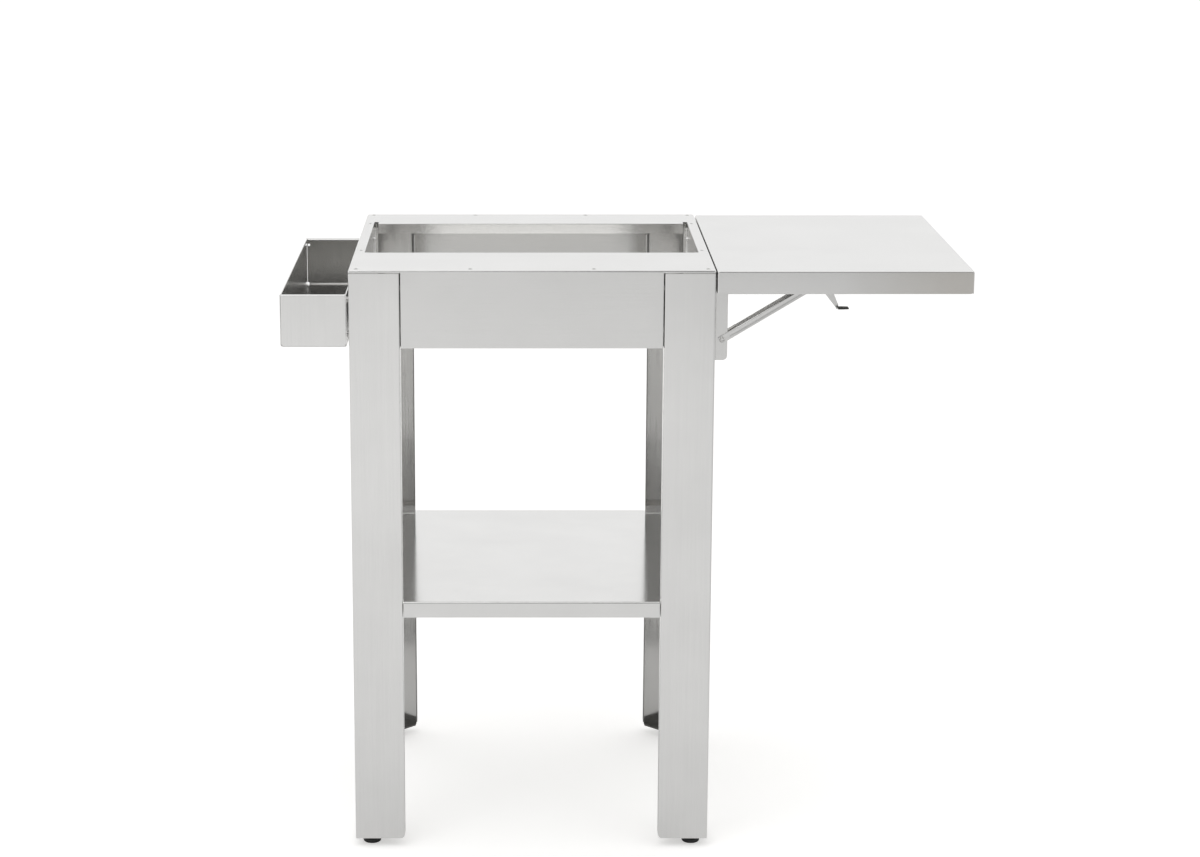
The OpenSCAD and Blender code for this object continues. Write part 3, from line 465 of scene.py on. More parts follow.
def relief(tree, strength, distance, height):
    return add_node(tree, "Bump", {"Strength": strength, "Distance": distance, "Height": height}).outputs[0]


def scaled(colour, *shares):
    return [tuple(c * share for c in colour) for share in shares]


def along_axis(axis):
    """A vector that squeezes a pattern into long lines along an axis, given by its letter."""
    return Vector([0.02 if letter == axis else 1 for letter in "xyz"])


def brushed(name, grain, light, rough=(0.12, 0.17), streak=0.035, painted_falloff=None):
    """Brushed sheet. grain is the axis that the brushing follows, and on faces that lie across it
    the brushing is upright. It mirrors sharply along the grain and softly across it.
    A falloff, if given, is where painted shade starts and ends along X, as less light falls there, and that
    shade."""
    material, tree, shader, coords = new_finish(name, 1)
    faces = worked(tree, "ABSOLUTE", split(tree, coords["Normal"])[grain.upper()])
    ways = {"Factor": worked(tree, "GREATER_THAN", faces, 0.7), 4: along_axis(grain), 5: along_axis("z")}
    way = add_node(tree, "Mix", ways, data_type="VECTOR").outputs[1]
    drawn = add_node(tree, "VectorMath", {0: coords["Object"], 1: way}, operation="MULTIPLY").outputs[0]
    line = add_node(tree, "VectorMath", {0: (1, 1, 1), 1: way}, operation="SUBTRACT").outputs[0]
    tangent = add_node(tree, "VectorTransform", {0: line}, vector_type="VECTOR", convert_from="OBJECT",
                       convert_to="WORLD").outputs[0]
    fine = noise(tree, drawn, 2600, 3, 0.6)
    broad = noise(tree, drawn, 420, 4, 0.65)
    cloud = noise(tree, coords["Object"], 9, 3, 0.55)
    tone = ranged(tree, worked(tree, "ADD", broad, cloud), 0, 1, 0.7, 1.3)
    colour = tinted(tree, tone, *scaled(light, 1 - streak, 1 + streak))
    # Painted shade: the colour darkens along X, where less light falls.
    if painted_falloff:
        start, end, shade = painted_falloff
        along = ranged(tree, split(tree, coords["Object"])["X"], 0, 1, start, end)
        shaded = tinted(tree, along, (1, 1, 1), shade)
        colour = add_node(tree, "VectorMath", {0: colour, 1: shaded}, operation="MULTIPLY").outputs[0]
    feed(tree, shader, {"Base Color": colour, "Roughness": ranged(tree, broad, *rough), "Tangent": tangent,
                        "Anisotropic": 0.93, "Anisotropic Rotation": 0.25,
                        "Normal": relief(tree, 0.3, 0.00005, worked(tree, "ADD", fine, broad))})
    return material


def pressed_steel(name, light, rough, fine=False):
    """Satin steel without a grain, as on stamped brackets and rolled sheet."""
    grit, deep = (1500, 0.00002) if fine else (900, 0.00004)
    material, tree, shader, coords = new_finish(name, 1)
    grain = noise(tree, coords["Object"], grit, 3, 0.6)
    cloud = noise(tree, coords["Object"], 30, 3, 0.5)
    feed(tree, shader, {"Base Color": tinted(tree, ranged(tree, cloud, 0, 1), *scaled(light, 0.94, 1.04)),
                        "Roughness": ranged(tree, cloud, *rough),
                        "Normal": relief(tree, 0.12, deep, grain)})
    return material


def moulded_plastic(name, shade):
    material, tree, shader, coords = new_finish(name, 0)
    grain = noise(tree, coords["Object"], 1500, 4, 0.6)
    cloud = noise(tree, coords["Object"], 60, 2, 0.5)
    feed(tree, shader, {"Base Color": tinted(tree, cloud, *scaled(shade, 0.8, 1.25)),
                        "Roughness": ranged(tree, grain, 0.42, 0.6),
                        "Normal": relief(tree, 0.25, 0.00008, grain)})
    return material


STEEL = (0.81, 0.807, 0.797)
deck_steel = brushed("brushed_deck", "x", STEEL)
leg_steel = brushed("brushed_legs", "z", STEEL)
shelf_steel = brushed("brushed_lower_shelf", "x", STEEL, (0.14, 0.19))
tray_steel = brushed("brushed_tray", "y", STEEL)
pan_steel = brushed("brushed_side_shelf", "x", STEEL)
# The side shelf's skirt gets painted shade, darker out to the right, where less light falls.
skirt_painted_shade = brushed("brushed_skirt_painted_shade", "x", STEEL, painted_falloff=(0.32, 0.49, (0.86, 0.835, 0.8)))
# Darker copies of the steel for faces that lie in shade: painted shade on sheets' backs and inner faces.
painted_shade_inside = brushed("leg_inside_painted_shade", "z", (0.67, 0.664, 0.65), (0.12, 0.18), 0.02)
# The tray's inside: a darker copy of the steel, painted shade.
tray_inside_painted_shade = brushed("tray_inside_painted_shade", "y", (0.62, 0.615, 0.6), (0.16, 0.22), 0.02)
# The deck's underside and aprons' insides: a darker copy of the steel, painted shade.
deck_inside_painted_shade = brushed("deck_inside_painted_shade", "x", (0.62, 0.615, 0.6), (0.1, 0.14), 0.02)
# A lighter copy of the steel, painted light, for faces in the cut-out that catch more light.
sheet_painted_light = brushed("sheet_painted_light", "x", (0.9, 0.896, 0.885), (0.1, 0.14), 0.02)
# A darker copy of the steel, painted shade, for the cut-out's side flanges.
flange_painted_shade = brushed("flange_painted_shade", "x", (0.6, 0.595, 0.585), (0.1, 0.14), 0.02)
cut_edges = pressed_steel("cut_edges", (0.22, 0.218, 0.212), (0.35, 0.45))
# A dark copy of the steel, painted shade, for the sole plates down in the legs.
soles_painted_shade = pressed_steel("soles_painted_shade", (0.15, 0.148, 0.142), (0.3, 0.4))
bracket_steel = pressed_steel("satin_bracket", (0.8, 0.797, 0.785), (0.2, 0.3))
satin_steel = pressed_steel("satin_strut_back", (0.8, 0.797, 0.785), (0.5, 0.6), fine=True)
bright_steel = pressed_steel("bright_fasteners", (0.66, 0.655, 0.64), (0.16, 0.26), fine=True)
spring_steel = pressed_steel("spring_wire", (0.5, 0.5, 0.49), (0.2, 0.3), fine=True)
black_plastic = moulded_plastic("black_moulding", (0.022, 0.022, 0.021))
grip_rubber = moulded_plastic("grip_coating", (0.03, 0.03, 0.028))


# Deck

def through_hole(radius, half=6):
    return turned([(0, -half), (radius, -half), (radius, half), (0, half)], 32)


def end_flange(bm, test, inward, to_leg):
    """Folds the flange off an apron's end. Its last stretch is sprung against the leg's lip."""
    sprung, lean = 5, LEG_GAP - 0.05
    edges = fold_off(bm, free_edges(bm, test), inward * (END_FLANGE - sprung))
    fold_off(bm, edges, inward * sprung + to_leg * lean)


def deck_holes():
    """The grill's holes and the countersunk ones for the screws."""
    bore, head, deep = 2.56, 3.8, 6
    holes = bmesh.new()
    for x, y in GRILL_HOLES:
        copy_into(holes, through_hole(GRILL_HOLE_R), at(x, y, TOP))
    for x, y in SCREW_PLACES:
        sink = [(0, -deep), (bore, -deep), (bore, -DECK_T), (head, 0.02), (head, deep), (0, deep)]
        copy_into(holes, turned(sink, 32), at(x, y, TOP))
    return holes


def folded_deck():
    xs = [-HALF, -HOLE_X, -FLANGE_X, -APRON_IN, APRON_IN, FLANGE_X, HOLE_X, HALF]
    ys = [-HALF, -APRON_IN, HOLE_FRONT, HOLE_REAR, RELIEF_Y, APRON_IN, HALF]

    def solid(x, y):
        in_hole = abs(x) < HOLE_X and HOLE_FRONT < y < HOLE_REAR
        in_relief = FLANGE_X < abs(x) < HOLE_X and HOLE_REAR < y < RELIEF_Y
        return not (in_hole or in_relief)

    bm = flat_sheet(xs, ys, TOP, solid)
    # Outer edge, then the aprons between the legs and the flanges at their ends
    rim = fold_off(bm, free_edges(bm, lambda x, y, z: max(abs(x), abs(y)) > HALF - 1),
                   (0, 0, EDGE_LOW - TOP))
    aprons = [e for e in rim if min(abs(middle(e).x), abs(middle(e).y)) < APRON_IN]
    fold_off(bm, aprons, (0, 0, APRON_LOW - EDGE_LOW))
    low = (EDGE_LOW + APRON_LOW) / 2
    for i, j in CORNERS.values():
        end_flange(bm, lambda x, y, z: near(z, low) and near(x * i, APRON_IN) and y * j > HALF - 1,
                   Vector((0, -j, 0)), Vector((i, 0, 0)))
        end_flange(bm, lambda x, y, z: near(z, low) and near(y * j, APRON_IN) and x * i > HALF - 1,
                   Vector((-i, 0, 0)), Vector((0, j, 0)))
    # Flanges round the cut-out, with a short return behind each side flange
    fold_off(bm, free_edges(bm, lambda x, y, z: abs(x) < FLANGE_X and abs(y) < HOLE_REAR + 1
                            and z > TOP - 1),
             (0, 0, REAR_FLANGE_LOW - TOP))
    for s in (-1, 1):
        side = free_edges(bm, lambda x, y, z: near(x * s, HOLE_X) and HOLE_FRONT < y < HOLE_REAR
                          and z > TOP - 1)
        upper = fold_off(bm, side, (0, 0, RETURN_TOP - TOP))
        fold_off(bm, upper, (0, 0, SIDE_FLANGE_LOW - RETURN_TOP))
        fold_off(bm, free_edges(bm, lambda x, y, z: near(x * s, HOLE_X)
                                and near(y, HOLE_REAR) and z < RETURN_TOP),
                 (-s * SIDE_RETURN, 0, 0))
    round_folds(bm, FOLD_R, lambda x, y, z: max(abs(x), abs(y)) > HALF - 1 and z > EDGE_LOW - 1)
    round_folds(bm, INNER_FOLD_R, lambda x, y, z: near(z, TOP) and abs(x) < HOLE_X + 1)
    round_folds(bm, INNER_FOLD_R, lambda x, y, z: z < EDGE_LOW)
    face_out(bm, (0, 0, 1))
    # Painted light: the cut-out's rear flange and the front apron's inner face get the lighter copy.
    rear_flange_painted_light = (sheet_painted_light, lambda place, facing: facing.y < -0.9 and near(place.y, HOLE_REAR, 1))
    front_back_painted_light = (sheet_painted_light, lambda place, facing: facing.y > 0.9 and place.y < 2 - HALF)
    # Painted shade: the cut-out's side flanges get the darker copy.
    side_flange_painted_shade = (flange_painted_shade,
                   lambda place, facing: abs(facing.x) > 0.9 and near(abs(place.x), HOLE_X, 1))
    # The deck's back faces get the darker copy, painted shade.
    finish_piece("deck_folded", bm, "stand", "top_deck", deck_steel,
                 wall=DECK_T, edge=0.2, cutter=deck_holes(), back=deck_inside_painted_shade,
                 patches=(rear_flange_painted_light, front_back_painted_light, side_flange_painted_shade))


# Legs

def folded_leg(name, i, j):
    """One angle leg, drawn in the corner of +X and +Y and mirrored into its own."""
    outline = [(LEG_IN, HALF - LEG_LIP), (LEG_IN, HALF), (HALF, HALF), (HALF, LEG_IN),
               (HALF - LEG_LIP, LEG_IN)]
    bm = swept([(x, y, LEG_LOW) for x, y in outline], (0, 0, LEG_TOP - LEG_LOW))
    # The lips' bottom corners are rounded
    round_r, steps = 7, 5
    for k in range(steps):
        turn = math.radians(180 + 90 * (k + 0.5) / steps)
        way = Vector((math.cos(turn), 0, math.sin(turn)))
        for point, normal in (((LEG_IN + round_r, 0, LEG_LOW + round_r), way),
                              ((0, LEG_IN + round_r, LEG_LOW + round_r), Vector((0, way.x, way.z)))):
            cut_through(bm, Vector(point) + normal * round_r, normal, clear=True)
    round_folds(bm, FOLD_R)
    face_out(bm, (1, 1, 0))
    moved(bm, Matrix.Diagonal((i, j, 1, 1)))
    node = "leg_" + name
    finish_piece(node + "_folded", bm, "stand", node, leg_steel, wall=LEG_T, edge=0.2)


# Lower shelf

def folded_lower_shelf():
    cuts = [APRON_IN, LEG_IN, TAB_RELIEF, TAB_IN, HALF]
    cuts = [-c for c in reversed(cuts)] + cuts
    tab_fold_r = 1.2

    def solid(x, y):
        less, more = sorted((abs(x), abs(y)))
        return less < APRON_IN or (less < TAB_RELIEF and more < TAB_IN)

    bm = flat_sheet(cuts, cuts, LOW_Z, solid)
    rim = free_edges(bm, lambda x, y, z: max(abs(x), abs(y)) > HALF - 1)
    rim = fold_off(bm, rim, (0, 0, -LOW_EDGE))
    fold_off(bm, rim, (0, 0, LOW_LIP - LOW_Z + LOW_EDGE))
    # Flanges at the lips' ends, and upturned tabs beside the legs' lips
    for k, s in ((0, -1), (0, 1), (1, -1), (1, 1)):
        out = Vector((1 - k, k, 0)) * s
        lip_end = free_edges(bm, lambda *p: near(abs(p[1 - k]), APRON_IN) and p[k] * s > HALF - 1
                             and p[2] < LOW_Z - LOW_EDGE)
        fold_off(bm, lip_end, out * -END_FLANGE)
        tab = free_edges(bm, lambda *p: near(p[2], LOW_Z) and near(p[k] * s, TAB_IN)
                         and LEG_IN < abs(p[1 - k]) < TAB_RELIEF)
        fold_off(bm, tab, out * TAB_LEAN + Vector((0, 0, LOW_TAB - LOW_Z)))
    round_folds(bm, FOLD_R, lambda x, y, z: near(z, LOW_Z) and max(abs(x), abs(y)) > HALF - 1)
    round_folds(bm, tab_fold_r, lambda x, y, z: near(z, LOW_Z))
    round_folds(bm, SMALL_FOLD_R, lambda x, y, z: z < LOW_Z - LOW_EDGE)
    upward(bm)
    finish_piece("lower_shelf_folded", bm, "stand", "lower_shelf", shelf_steel,
                 wall=LOW_T, edge=0.2)


# Tray

def hem_strip(length, wall, depth):
    """A sheet's edge folded flat on itself, along Y. The sheet's outer face is at x 0, the fold's
    round end at z 0, and the turned-in leg stands inside, up to depth."""
    steps, soft = 8, 0.2
    turns = [math.pi * k / steps for k in range(1, steps)]
    profile = [(0, wall)] + [(wall * (1 - math.cos(a)), wall * (1 - math.sin(a))) for a in turns]
    profile += [(2 * wall, wall), (2 * wall, depth - soft), (2 * wall - soft, depth), (wall, depth),
                (wall, wall)]
    bm = outlined(profile, y=-length / 2)
    thicken(bm, length)
    return bm


def folded_tray():
    x0, x1 = TRAY_X
    z0, z1 = TRAY_Z
    mid, half = (x0 + x1) / 2, (x1 - x0) / 2
    relief, slit, nose, turn = 4, TRAY_T + 0.3, 4, 3
    rim_y = TRAY_Y - TRAY_RIM
    xs = [x0, x0 + relief, x1 - relief, x1]
    ys = [-TRAY_Y, relief - TRAY_Y, -rim_y, rim_y, TRAY_Y - relief, TRAY_Y]
    bm = flat_sheet(xs, ys, z0, lambda x, y: abs(x - mid) < half - relief or abs(y) < TRAY_Y - relief)
    # Side walls, lower where their hem is folded over, and end walls with a turned-down rim
    for s in (-1, 1):
        edge = free_edges(bm, lambda x, y, z: (x - mid) * s > half - 0.1 and z < z0 + 0.1)
        edge = fold_off(bm, edge, (0, 0, relief))
        edge = fold_off(bm, edge, (0, 0, z1 - z0 - relief - TRAY_T))
        fold_off(bm, [e for e in edge if abs(middle(e).y) > rim_y], (0, 0, TRAY_T))
        edge = free_edges(bm, lambda x, y, z: y * s > TRAY_Y - 0.1 and z < z0 + 0.1)
        edge = fold_off(bm, edge, (0, 0, relief))
        top = fold_off(bm, edge, (0, 0, z1 - z0 - relief))
        top = fold_off(bm, top, (0, -s * TRAY_RIM, 0))
        fold_off(bm, top, (0, 0, -nose))
    # The side walls reach the corners, and then the end walls reach a slit beside them
    for s in (-1, 1):
        fold_off(bm, free_edges(bm, lambda x, y, z: abs(x - mid) > half - 0.1 and z > z0 + relief + 1
                                and TRAY_Y - 0.1 > y * s > TRAY_Y - relief - 0.1), (0, s * relief, 0))
    for s in (-1, 1):
        fold_off(bm, free_edges(bm, lambda x, y, z: half - 0.1 > (x - mid) * s > half - relief - 0.1
                                and abs(y) > rim_y and z > z0 + relief + 1),
                 (s * (relief - slit), 0, 0))
    weld(bm)
    round_folds(bm, turn, lambda x, y, z: z < z0 + 0.1)
    round_folds(bm, turn, lambda x, y, z: z > z1 - 0.1 and abs(y) < rim_y + 0.1)
    round_folds(bm, SMALL_FOLD_R)
    upward(bm, down=True)
    place = at(mid, 0, z1, 180, "X")
    hems = [moved(hem_strip(2 * rim_y, TRAY_T, TRAY_RIM), place @ turn_over @ at(-half, 0, 0))
            for turn_over in (Matrix(), flip("x"))]
    holes = bmesh.new()
    for x in (x0 + TRAY_HOLE_IN, x1 - TRAY_HOLE_IN):
        copy_into(holes, through_hole(TRAY_HOLE_R), at(x, TRAY_Y, z1 - TRAY_HOLE_DOWN, 90, "X"))
    # The tray's back faces get the darker copy, painted shade.
    finish_piece("tray_folded", bm, "stand", "side_tray", tray_steel,
                 wall=TRAY_T, edge=0.15, cutter=holes, back=tray_inside_painted_shade, cut=tray_steel, hems=hems)


# Side shelf

def folded_side_shelf():
    corner = FOLD_R + 1.5
    ys = sorted([-HALF, HALF] + [s * BRACKET_Y + t * NOTCH_HALF for s in (-1, 1) for t in (-1, 1)])
    x0, x1 = PAN_X
    bm = flat_sheet([x0, x1], ys, PAN_TOP)
    upper = fold_off(bm, free_edges(bm, lambda x, y, z: True), (0, 0, NOTCH_TOP - PAN_TOP))
    fold_off(bm, upper, (0, 0, PAN_LOW + PAN_T - NOTCH_TOP))

    def in_notch(x, y, z):
        return z < NOTCH_TOP and x < x0 + 1 and near(abs(y), BRACKET_Y, NOTCH_HALF)

    gone = [f for f in bm.faces if in_notch(*f.calc_center_median())]
    bmesh.ops.delete(bm, geom=gone, context="FACES")
    round_folds(bm, FOLD_R)
    upward(bm)
    # Hem round the skirt's foot, open at the corners and at the leaves
    inner = BRACKET_Y - NOTCH_HALF
    outer = (BRACKET_Y + NOTCH_HALF + HALF - corner) / 2
    beside = HALF - corner - BRACKET_Y - NOTCH_HALF
    runs = [(2 * inner, at(x0, 0, PAN_LOW)), (2 * (HALF - corner), at(x1, 0, PAN_LOW) @ flip("x"))]
    for s in (-1, 1):
        runs.append((beside, at(x0, s * outer, PAN_LOW)))
        runs.append((x1 - x0 - 2 * corner, at((x0 + x1) / 2, s * HALF, PAN_LOW, -90 * s, "Z")))
    hems = [moved(hem_strip(length, PAN_T, PAN_HEM), place) for length, place in runs]
    # The skirt's front face has the painted shade.
    skirt_front_painted_shade = (skirt_painted_shade, lambda place, facing: facing.y < -0.9 and place.y < 5 - HALF)
    finish_piece("side_shelf_folded", bm, "side_shelf", "side_shelf_pan", pan_steel,
                 wall=PAN_T, edge=0.2, hems=hems, patches=[skirt_front_painted_shade])


def folded_stiffener():
    """A shallow hat section across the pan, between the two arms."""
    flange, web, deep, half = 10, 30, 14 - PAN_T, 200
    end = PAN_X[1] - PAN_T - 40
    start = end - 2 * flange - web
    outline = [(start, WEB_Z), (start + flange, WEB_Z), (start + flange, WEB_Z - deep),
               (end - flange, WEB_Z - deep), (end - flange, WEB_Z), (end, WEB_Z)]
    bm = swept([(x, -half, z) for x, z in outline], (0, 2 * half, 0))
    round_folds(bm, INNER_FOLD_R)
    upward(bm)
    # The stiffener under the pan has the darker copy, painted shade.
    finish_piece("stiffener_folded", bm, "side_shelf", "shelf_stiffener", painted_shade_inside,
                 wall=PAN_T, edge=0.15)


# Folding brackets

def channel(flange, half, along_web, fold_r, outward):
    """A channel with two equal flanges, each drawn by flange() and moved out to half. The web
    joins the edges that pass along_web(x, z) and faces outward."""
    side = at(0, -half, 0)
    bm = moved(flange(), side)
    fold_off(bm, free_edges(bm, lambda x, y, z: along_web(x, z)), (0, 2 * half, 0))
    copy_into(bm, flange(), flip("y") @ side)
    weld(bm)
    round_folds(bm, fold_r, lambda x, y, z: along_web(x, z))
    face_out(bm, outward)
    return bm


def folded_leaf(side, s):
    low, high, ear = RIVET[1] - 32, HINGE[1] + 8.5, HINGE[1] - 6.5
    out, ear_out = RIVET[0] + 8, HINGE[0] + 8.5
    points = [(HALF, low), (out, low), (out, ear), (ear_out, ear + 3), (ear_out, high), (HALF, high)]
    bm = channel(lambda: outlined(points, ((1, 7), (2, 3), (3, 3), (4, 7))), LEAF_Y,
                 lambda x, z: near(x, HALF), fold_r=2.6, outward=(-1, 0, 0))
    finish_piece("leaf_" + side + "_pressed", moved(bm, at(0, s * BRACKET_Y, 0)), "stand",
                 "bracket_leaf_" + side, bracket_steel, wall=LEAF_T, edge=0.35)


def slot_cutter(x0, x1, z, radius, half):
    """A long hole with round ends, along X."""
    bm = moved(through_hole(radius, half), at(x0, 0, z, 90, "X"))
    bmesh.ops.translate(bm, vec=(x1 - x0, 0, 0), verts=[v for v in bm.verts if v.co.x > x0 + 0.01])
    agree(bm)
    return bm


def folded_arm(side, s):
    low = HINGE[1] - 6
    start, slot_r, corner = HINGE[0] - 6.5, 3.3, 6
    points = [(start, low), (ARM_END, low + 0.3), (ARM_END, WEB_Z), (start, WEB_Z)]
    bm = channel(lambda: outlined(points, ((0, corner), (1, corner))), ARM_Y,
                 lambda x, z: near(z, WEB_Z), fold_r=2.2, outward=(0, 0, 1))
    place = at(0, s * BRACKET_Y, 0)
    holes = moved(slot_cutter(SLIDE[0], SLOT_END, HINGE[1], slot_r, 2 * ARM_IN), place)
    finish_piece("arm_" + side + "_pressed", moved(bm, place), "side_shelf", "bracket_arm_" + side,
                 bracket_steel, wall=BRACKET_T, edge=0.25, cutter=holes)


def strut_flange(web_start):
    """One side of a strut, level from its rivet, with a groove pressed along it."""
    eye, steps, groove_h, groove_in, start, rim = 6.25, 12, 2.3, 0.4, 12, 1.1
    lean = math.asin(STRUT_H / eye)
    turns = [lean - 2 * lean * k / steps for k in range(steps + 1)]
    points = [(-eye * math.cos(a), eye * math.sin(a)) for a in turns]
    bm = outlined(points + [(STRUT_L - x, -z) for x, z in points])
    for x in (start, STRUT_L - start):
        cut_through(bm, (x, 0, 0), (1, 0, 0))
    for z in (-groove_h, groove_h):
        cut_through(bm, (0, 0, z), (0, 0, 1))
    level = [f for f in bm.faces if abs(f.calc_center_median().z) < 1]
    groove = max(level, key=lambda f: f.calc_area())
    bmesh.ops.inset_region(bm, faces=[groove], thickness=rim, depth=0)
    bmesh.ops.translate(bm, vec=(0, groove_in, 0), verts=groove.verts)
    cut_through(bm, (web_start, 0, 0), (1, 0, 0))
    return bm


def pressed_strut(side, s):
    web_start, web_end = 28, STRUT_L - 12
    bm = channel(lambda: strut_flange(web_start), STRUT_Y,
                 lambda x, z: near(z, STRUT_H) and web_start < x < web_end,
                 fold_r=1.8, outward=(0, 0, 1))
    moved(bm, at(RIVET[0], s * BRACKET_Y, RIVET[1], -math.degrees(STRUT_TILT), "Y"))
    upper = Vector((-math.sin(STRUT_TILT), 0, math.cos(STRUT_TILT)))
    web_back = (satin_steel, lambda place, facing: facing.dot(upper) > 0.9)
    finish_piece("strut_" + side + "_pressed", bm, "strut_" + side, "strut_" + side,
                 bracket_steel, wall=BRACKET_T, edge=0.3, patches=[web_back])


def headed_pin(half, radius, head, height, hollow=0):
    """A pin with a low round head on each end, which may be hollow."""
    end = half + height
    dome = [(head * 0.55, end), (head * 0.85, end - height * 0.25), (head, end - height * 0.75)]
    dome.append((head, half))
    if hollow:
        dome = [(0, half - 1), (hollow, half - 1), (hollow, end - 0.2), (hollow + 0.3, end)] + dome
    else:
        dome = [(0, end)] + dome
    return both_ends(dome + [(radius, half)])


def across(x, z, s):
    """The place of a pin that lies across a bracket; its +Z end is the outer one."""
    return at(x, s * BRACKET_Y, z, -90 * s, "X")


def lever_stud():
    """The lever's pin, from the arm out, with a turned head over the spring."""
    radius, head = 3, LEVER_Y + 4.8
    return turned([(0, ARM_IN), (radius, ARM_IN), (radius, head), (5.7, head), (5.7, head + 0.5),
                   (4.9, head + 1.3), (3.1, head + 1.6), (2.6, head + 1.2), (0, head + 1.2)])


def bracket_pins():
    pins, rivets, bushes, studs, springs = (bmesh.new() for _ in range(5))
    half, radius, soft = ARM_IN - 0.9, 3, 0.3
    for side, s in SIDES.items():
        copy_into(pins, headed_pin(ARM_Y + 0.3, radius, 5, 2), across(*HINGE, s))
        copy_into(rivets, headed_pin(STRUT_Y + 0.1, radius, 4.7, 1.6, hollow=2.1), across(*RIVET, s))
        for turn_over in (Matrix(), flip("z")):
            bush = plain_ring(5, radius + 0.06, ARM_IN - 0.1 - LEAF_Y)
            copy_into(bushes, bush, across(*HINGE, s) @ turn_over @ at(0, 0, LEAF_Y))
        slide = both_ends([(0, half), (radius - soft, half), (radius, half - soft)])
        moved(slide, across(*SLIDE, s))
        finish_fastener("slide_pin_" + side, "turned", slide, "strut_" + side)
        copy_into(studs, lever_stud(), across(*LEVER_PIN, s))
        copy_into(springs, wire_spring(), across(*LEVER_PIN, s))
    finish_fastener("hinge_pins", "turned", pins)
    finish_fastener("strut_rivets", "formed", rivets)
    finish_fastener("hinge_bushes", "turned", bushes)
    finish_fastener("lever_pins", "turned", studs, "side_shelf")
    finish_fastener("lever_springs", "wound", springs, "side_shelf", spring_steel, sharp=60)


def wire_spring():
    """A round wire wound round the lever's pin."""
    wire, radius, low, turns, rise = 0.45, 4.7, LEVER_Y + 0.75, 3.6, 3.6
    steps = int(turns * 24)
    bm = bmesh.new()
    bmesh.ops.create_circle(bm, segments=10, radius=wire, cap_ends=True)
    moved(bm, at(radius, 0, low, 90, "X"))
    bmesh.ops.spin(bm, geom=bm.faces[:], cent=(0, 0, 0), axis=(0, 0, 1), angle=turns * 2 * math.pi,
                   dvec=(0, 0, rise / (turns * 24)), steps=steps, use_merge=False)
    weld(bm)
    inner = [f for f in bm.faces if len(f.verts) > 4]
    bmesh.ops.delete(bm, geom=inner[:-2], context="FACES_ONLY")
    agree(bm)
    return bm


def on_lever(bm, s):
    """Moves a shape drawn outwards from y 0 to its bracket's lever."""
    moved(bm, at(0, s * (BRACKET_Y + LEVER_IN), 0) @ (Matrix() if s > 0 else flip("y")))
    agree(bm)


def pressed_lever(side, s):
    """A flat lever with a catch behind the slide pin and a finger tab bent off its foot."""
    x, z = HINGE
    outline = [(131.6, 3), (131.6, -3), (139.6, -4.5), (148, -6), (166, -28.8), (170, -28.8),
               (170, -24.8), (162, -6), (162, 17), (148, 17), (139.6, 4.5)]
    rounds = ((8, 6), (9, 6), (3, 3), (7, 3), (0, 1), (1, 1))
    bm = outlined([(x + a, z + b) for a, b in outline], rounds)
    thicken(bm, LEVER_T)
    bevel(bm, [e for e in bm.edges if e.calc_face_angle(0) > 1], 0.3, 2)
    copy_into(bm, block((TAB[0], 0, TAB[1] - 1), (TAB[0] + 17, 12, TAB[1] + 1), 0.5))
    on_lever(bm, s)
    finish_piece("lever_" + side + "_pressed", bm, "lever_" + side, "release_lever_" + side,
                 bracket_steel)


def dipped_grip(side, s):
    """Soft coating over the finger tab, thicker and rounder than the steel in it."""
    start, length, half, thinner = TAB[0] + 2.5, 16.5, 1.6, 0.25
    z = TAB[1]
    bm = block((start, -0.1, z - half), (start + length, 12.6, z + half))
    sides = [e for e in bm.edges if abs((e.verts[0].co - e.verts[1].co).x) > 5]
    bmesh.ops.subdivide_edges(bm, edges=sides, cuts=5, use_grid_fill=True)
    for v in bm.verts:
        along = (v.co.x - start) / length
        v.co.z = z + (v.co.z - z) * (1 - thinner * along * along)
    bevel(bm, [e for e in bm.edges if e.calc_face_angle(0) > 1], 1.1, 4)
    on_lever(bm, s)
    finish_piece("grip_" + side + "_dipped", bm, "lever_" + side, "lever_grip_" + side,
                 grip_rubber, sharp=50)


# Fasteners

def thread(radius, start, end, pitch, root=0.86):
    """Rings of a thread from start towards end. root is its valley's share of the radius."""
    step = math.copysign(pitch, end - start)
    rings = []
    for k in range(math.ceil((end - start) / step)):
        rings += [(radius, start + step * k), (radius * root, start + step * (k + 0.5))]
    return rings


def button_screw(head, height, shank, length, socket):
    """A round head with a hexagon socket at zero, its thread running down."""
    rings = [(0, height * 0.35), (socket, height * 0.35, "hex"), (socket, height - 0.25, "hex"),
             (socket * 1.25, height), (head * 0.62, height * 0.98), (head * 0.85, height * 0.72),
             (head * 0.97, height * 0.3), (head, 0.15), (head * 0.98, 0), (shank, 0)]
    rings += thread(shank, -1, 0.7 - length, 1)
    return turned(rings + [(shank * 0.86, 0.5 - length), (shank * 0.7, -length), (0, -length)])


def hex_nut(flats, height, bore):
    """A chamfered nut from zero up."""
    w, soft = flats / 2, 0.4
    return turned([(bore, soft), (bore + soft, 0), (w * 0.94, 0), (w, 0.5, "hex"),
                   (w, height - 0.5, "hex"), (w * 0.94, height), (bore + soft, height),
                   (bore, height - soft), (bore, soft)])


def plain_ring(outer, bore, height):
    soft = min(0.2, height / 4)
    return turned([(bore, 0), (outer - soft, 0), (outer, soft), (outer, height - soft),
                   (outer - soft, height), (bore, height), (bore, 0)])


def lip_places(zs):
    """Places of the frame's bolts: heads inside a leg, shanks towards the flange beside it."""
    lip = HALF - (LEG_LIP + LEG_T) / 2
    for z in zs:
        for i, j in CORNERS.values():
            corner = Matrix.Diagonal((i, j, 1, 1))
            yield corner @ at(LEG_IN + LEG_T, lip, z, 90, "Y")
            yield corner @ at(lip, LEG_IN + LEG_T, z, -90, "X")


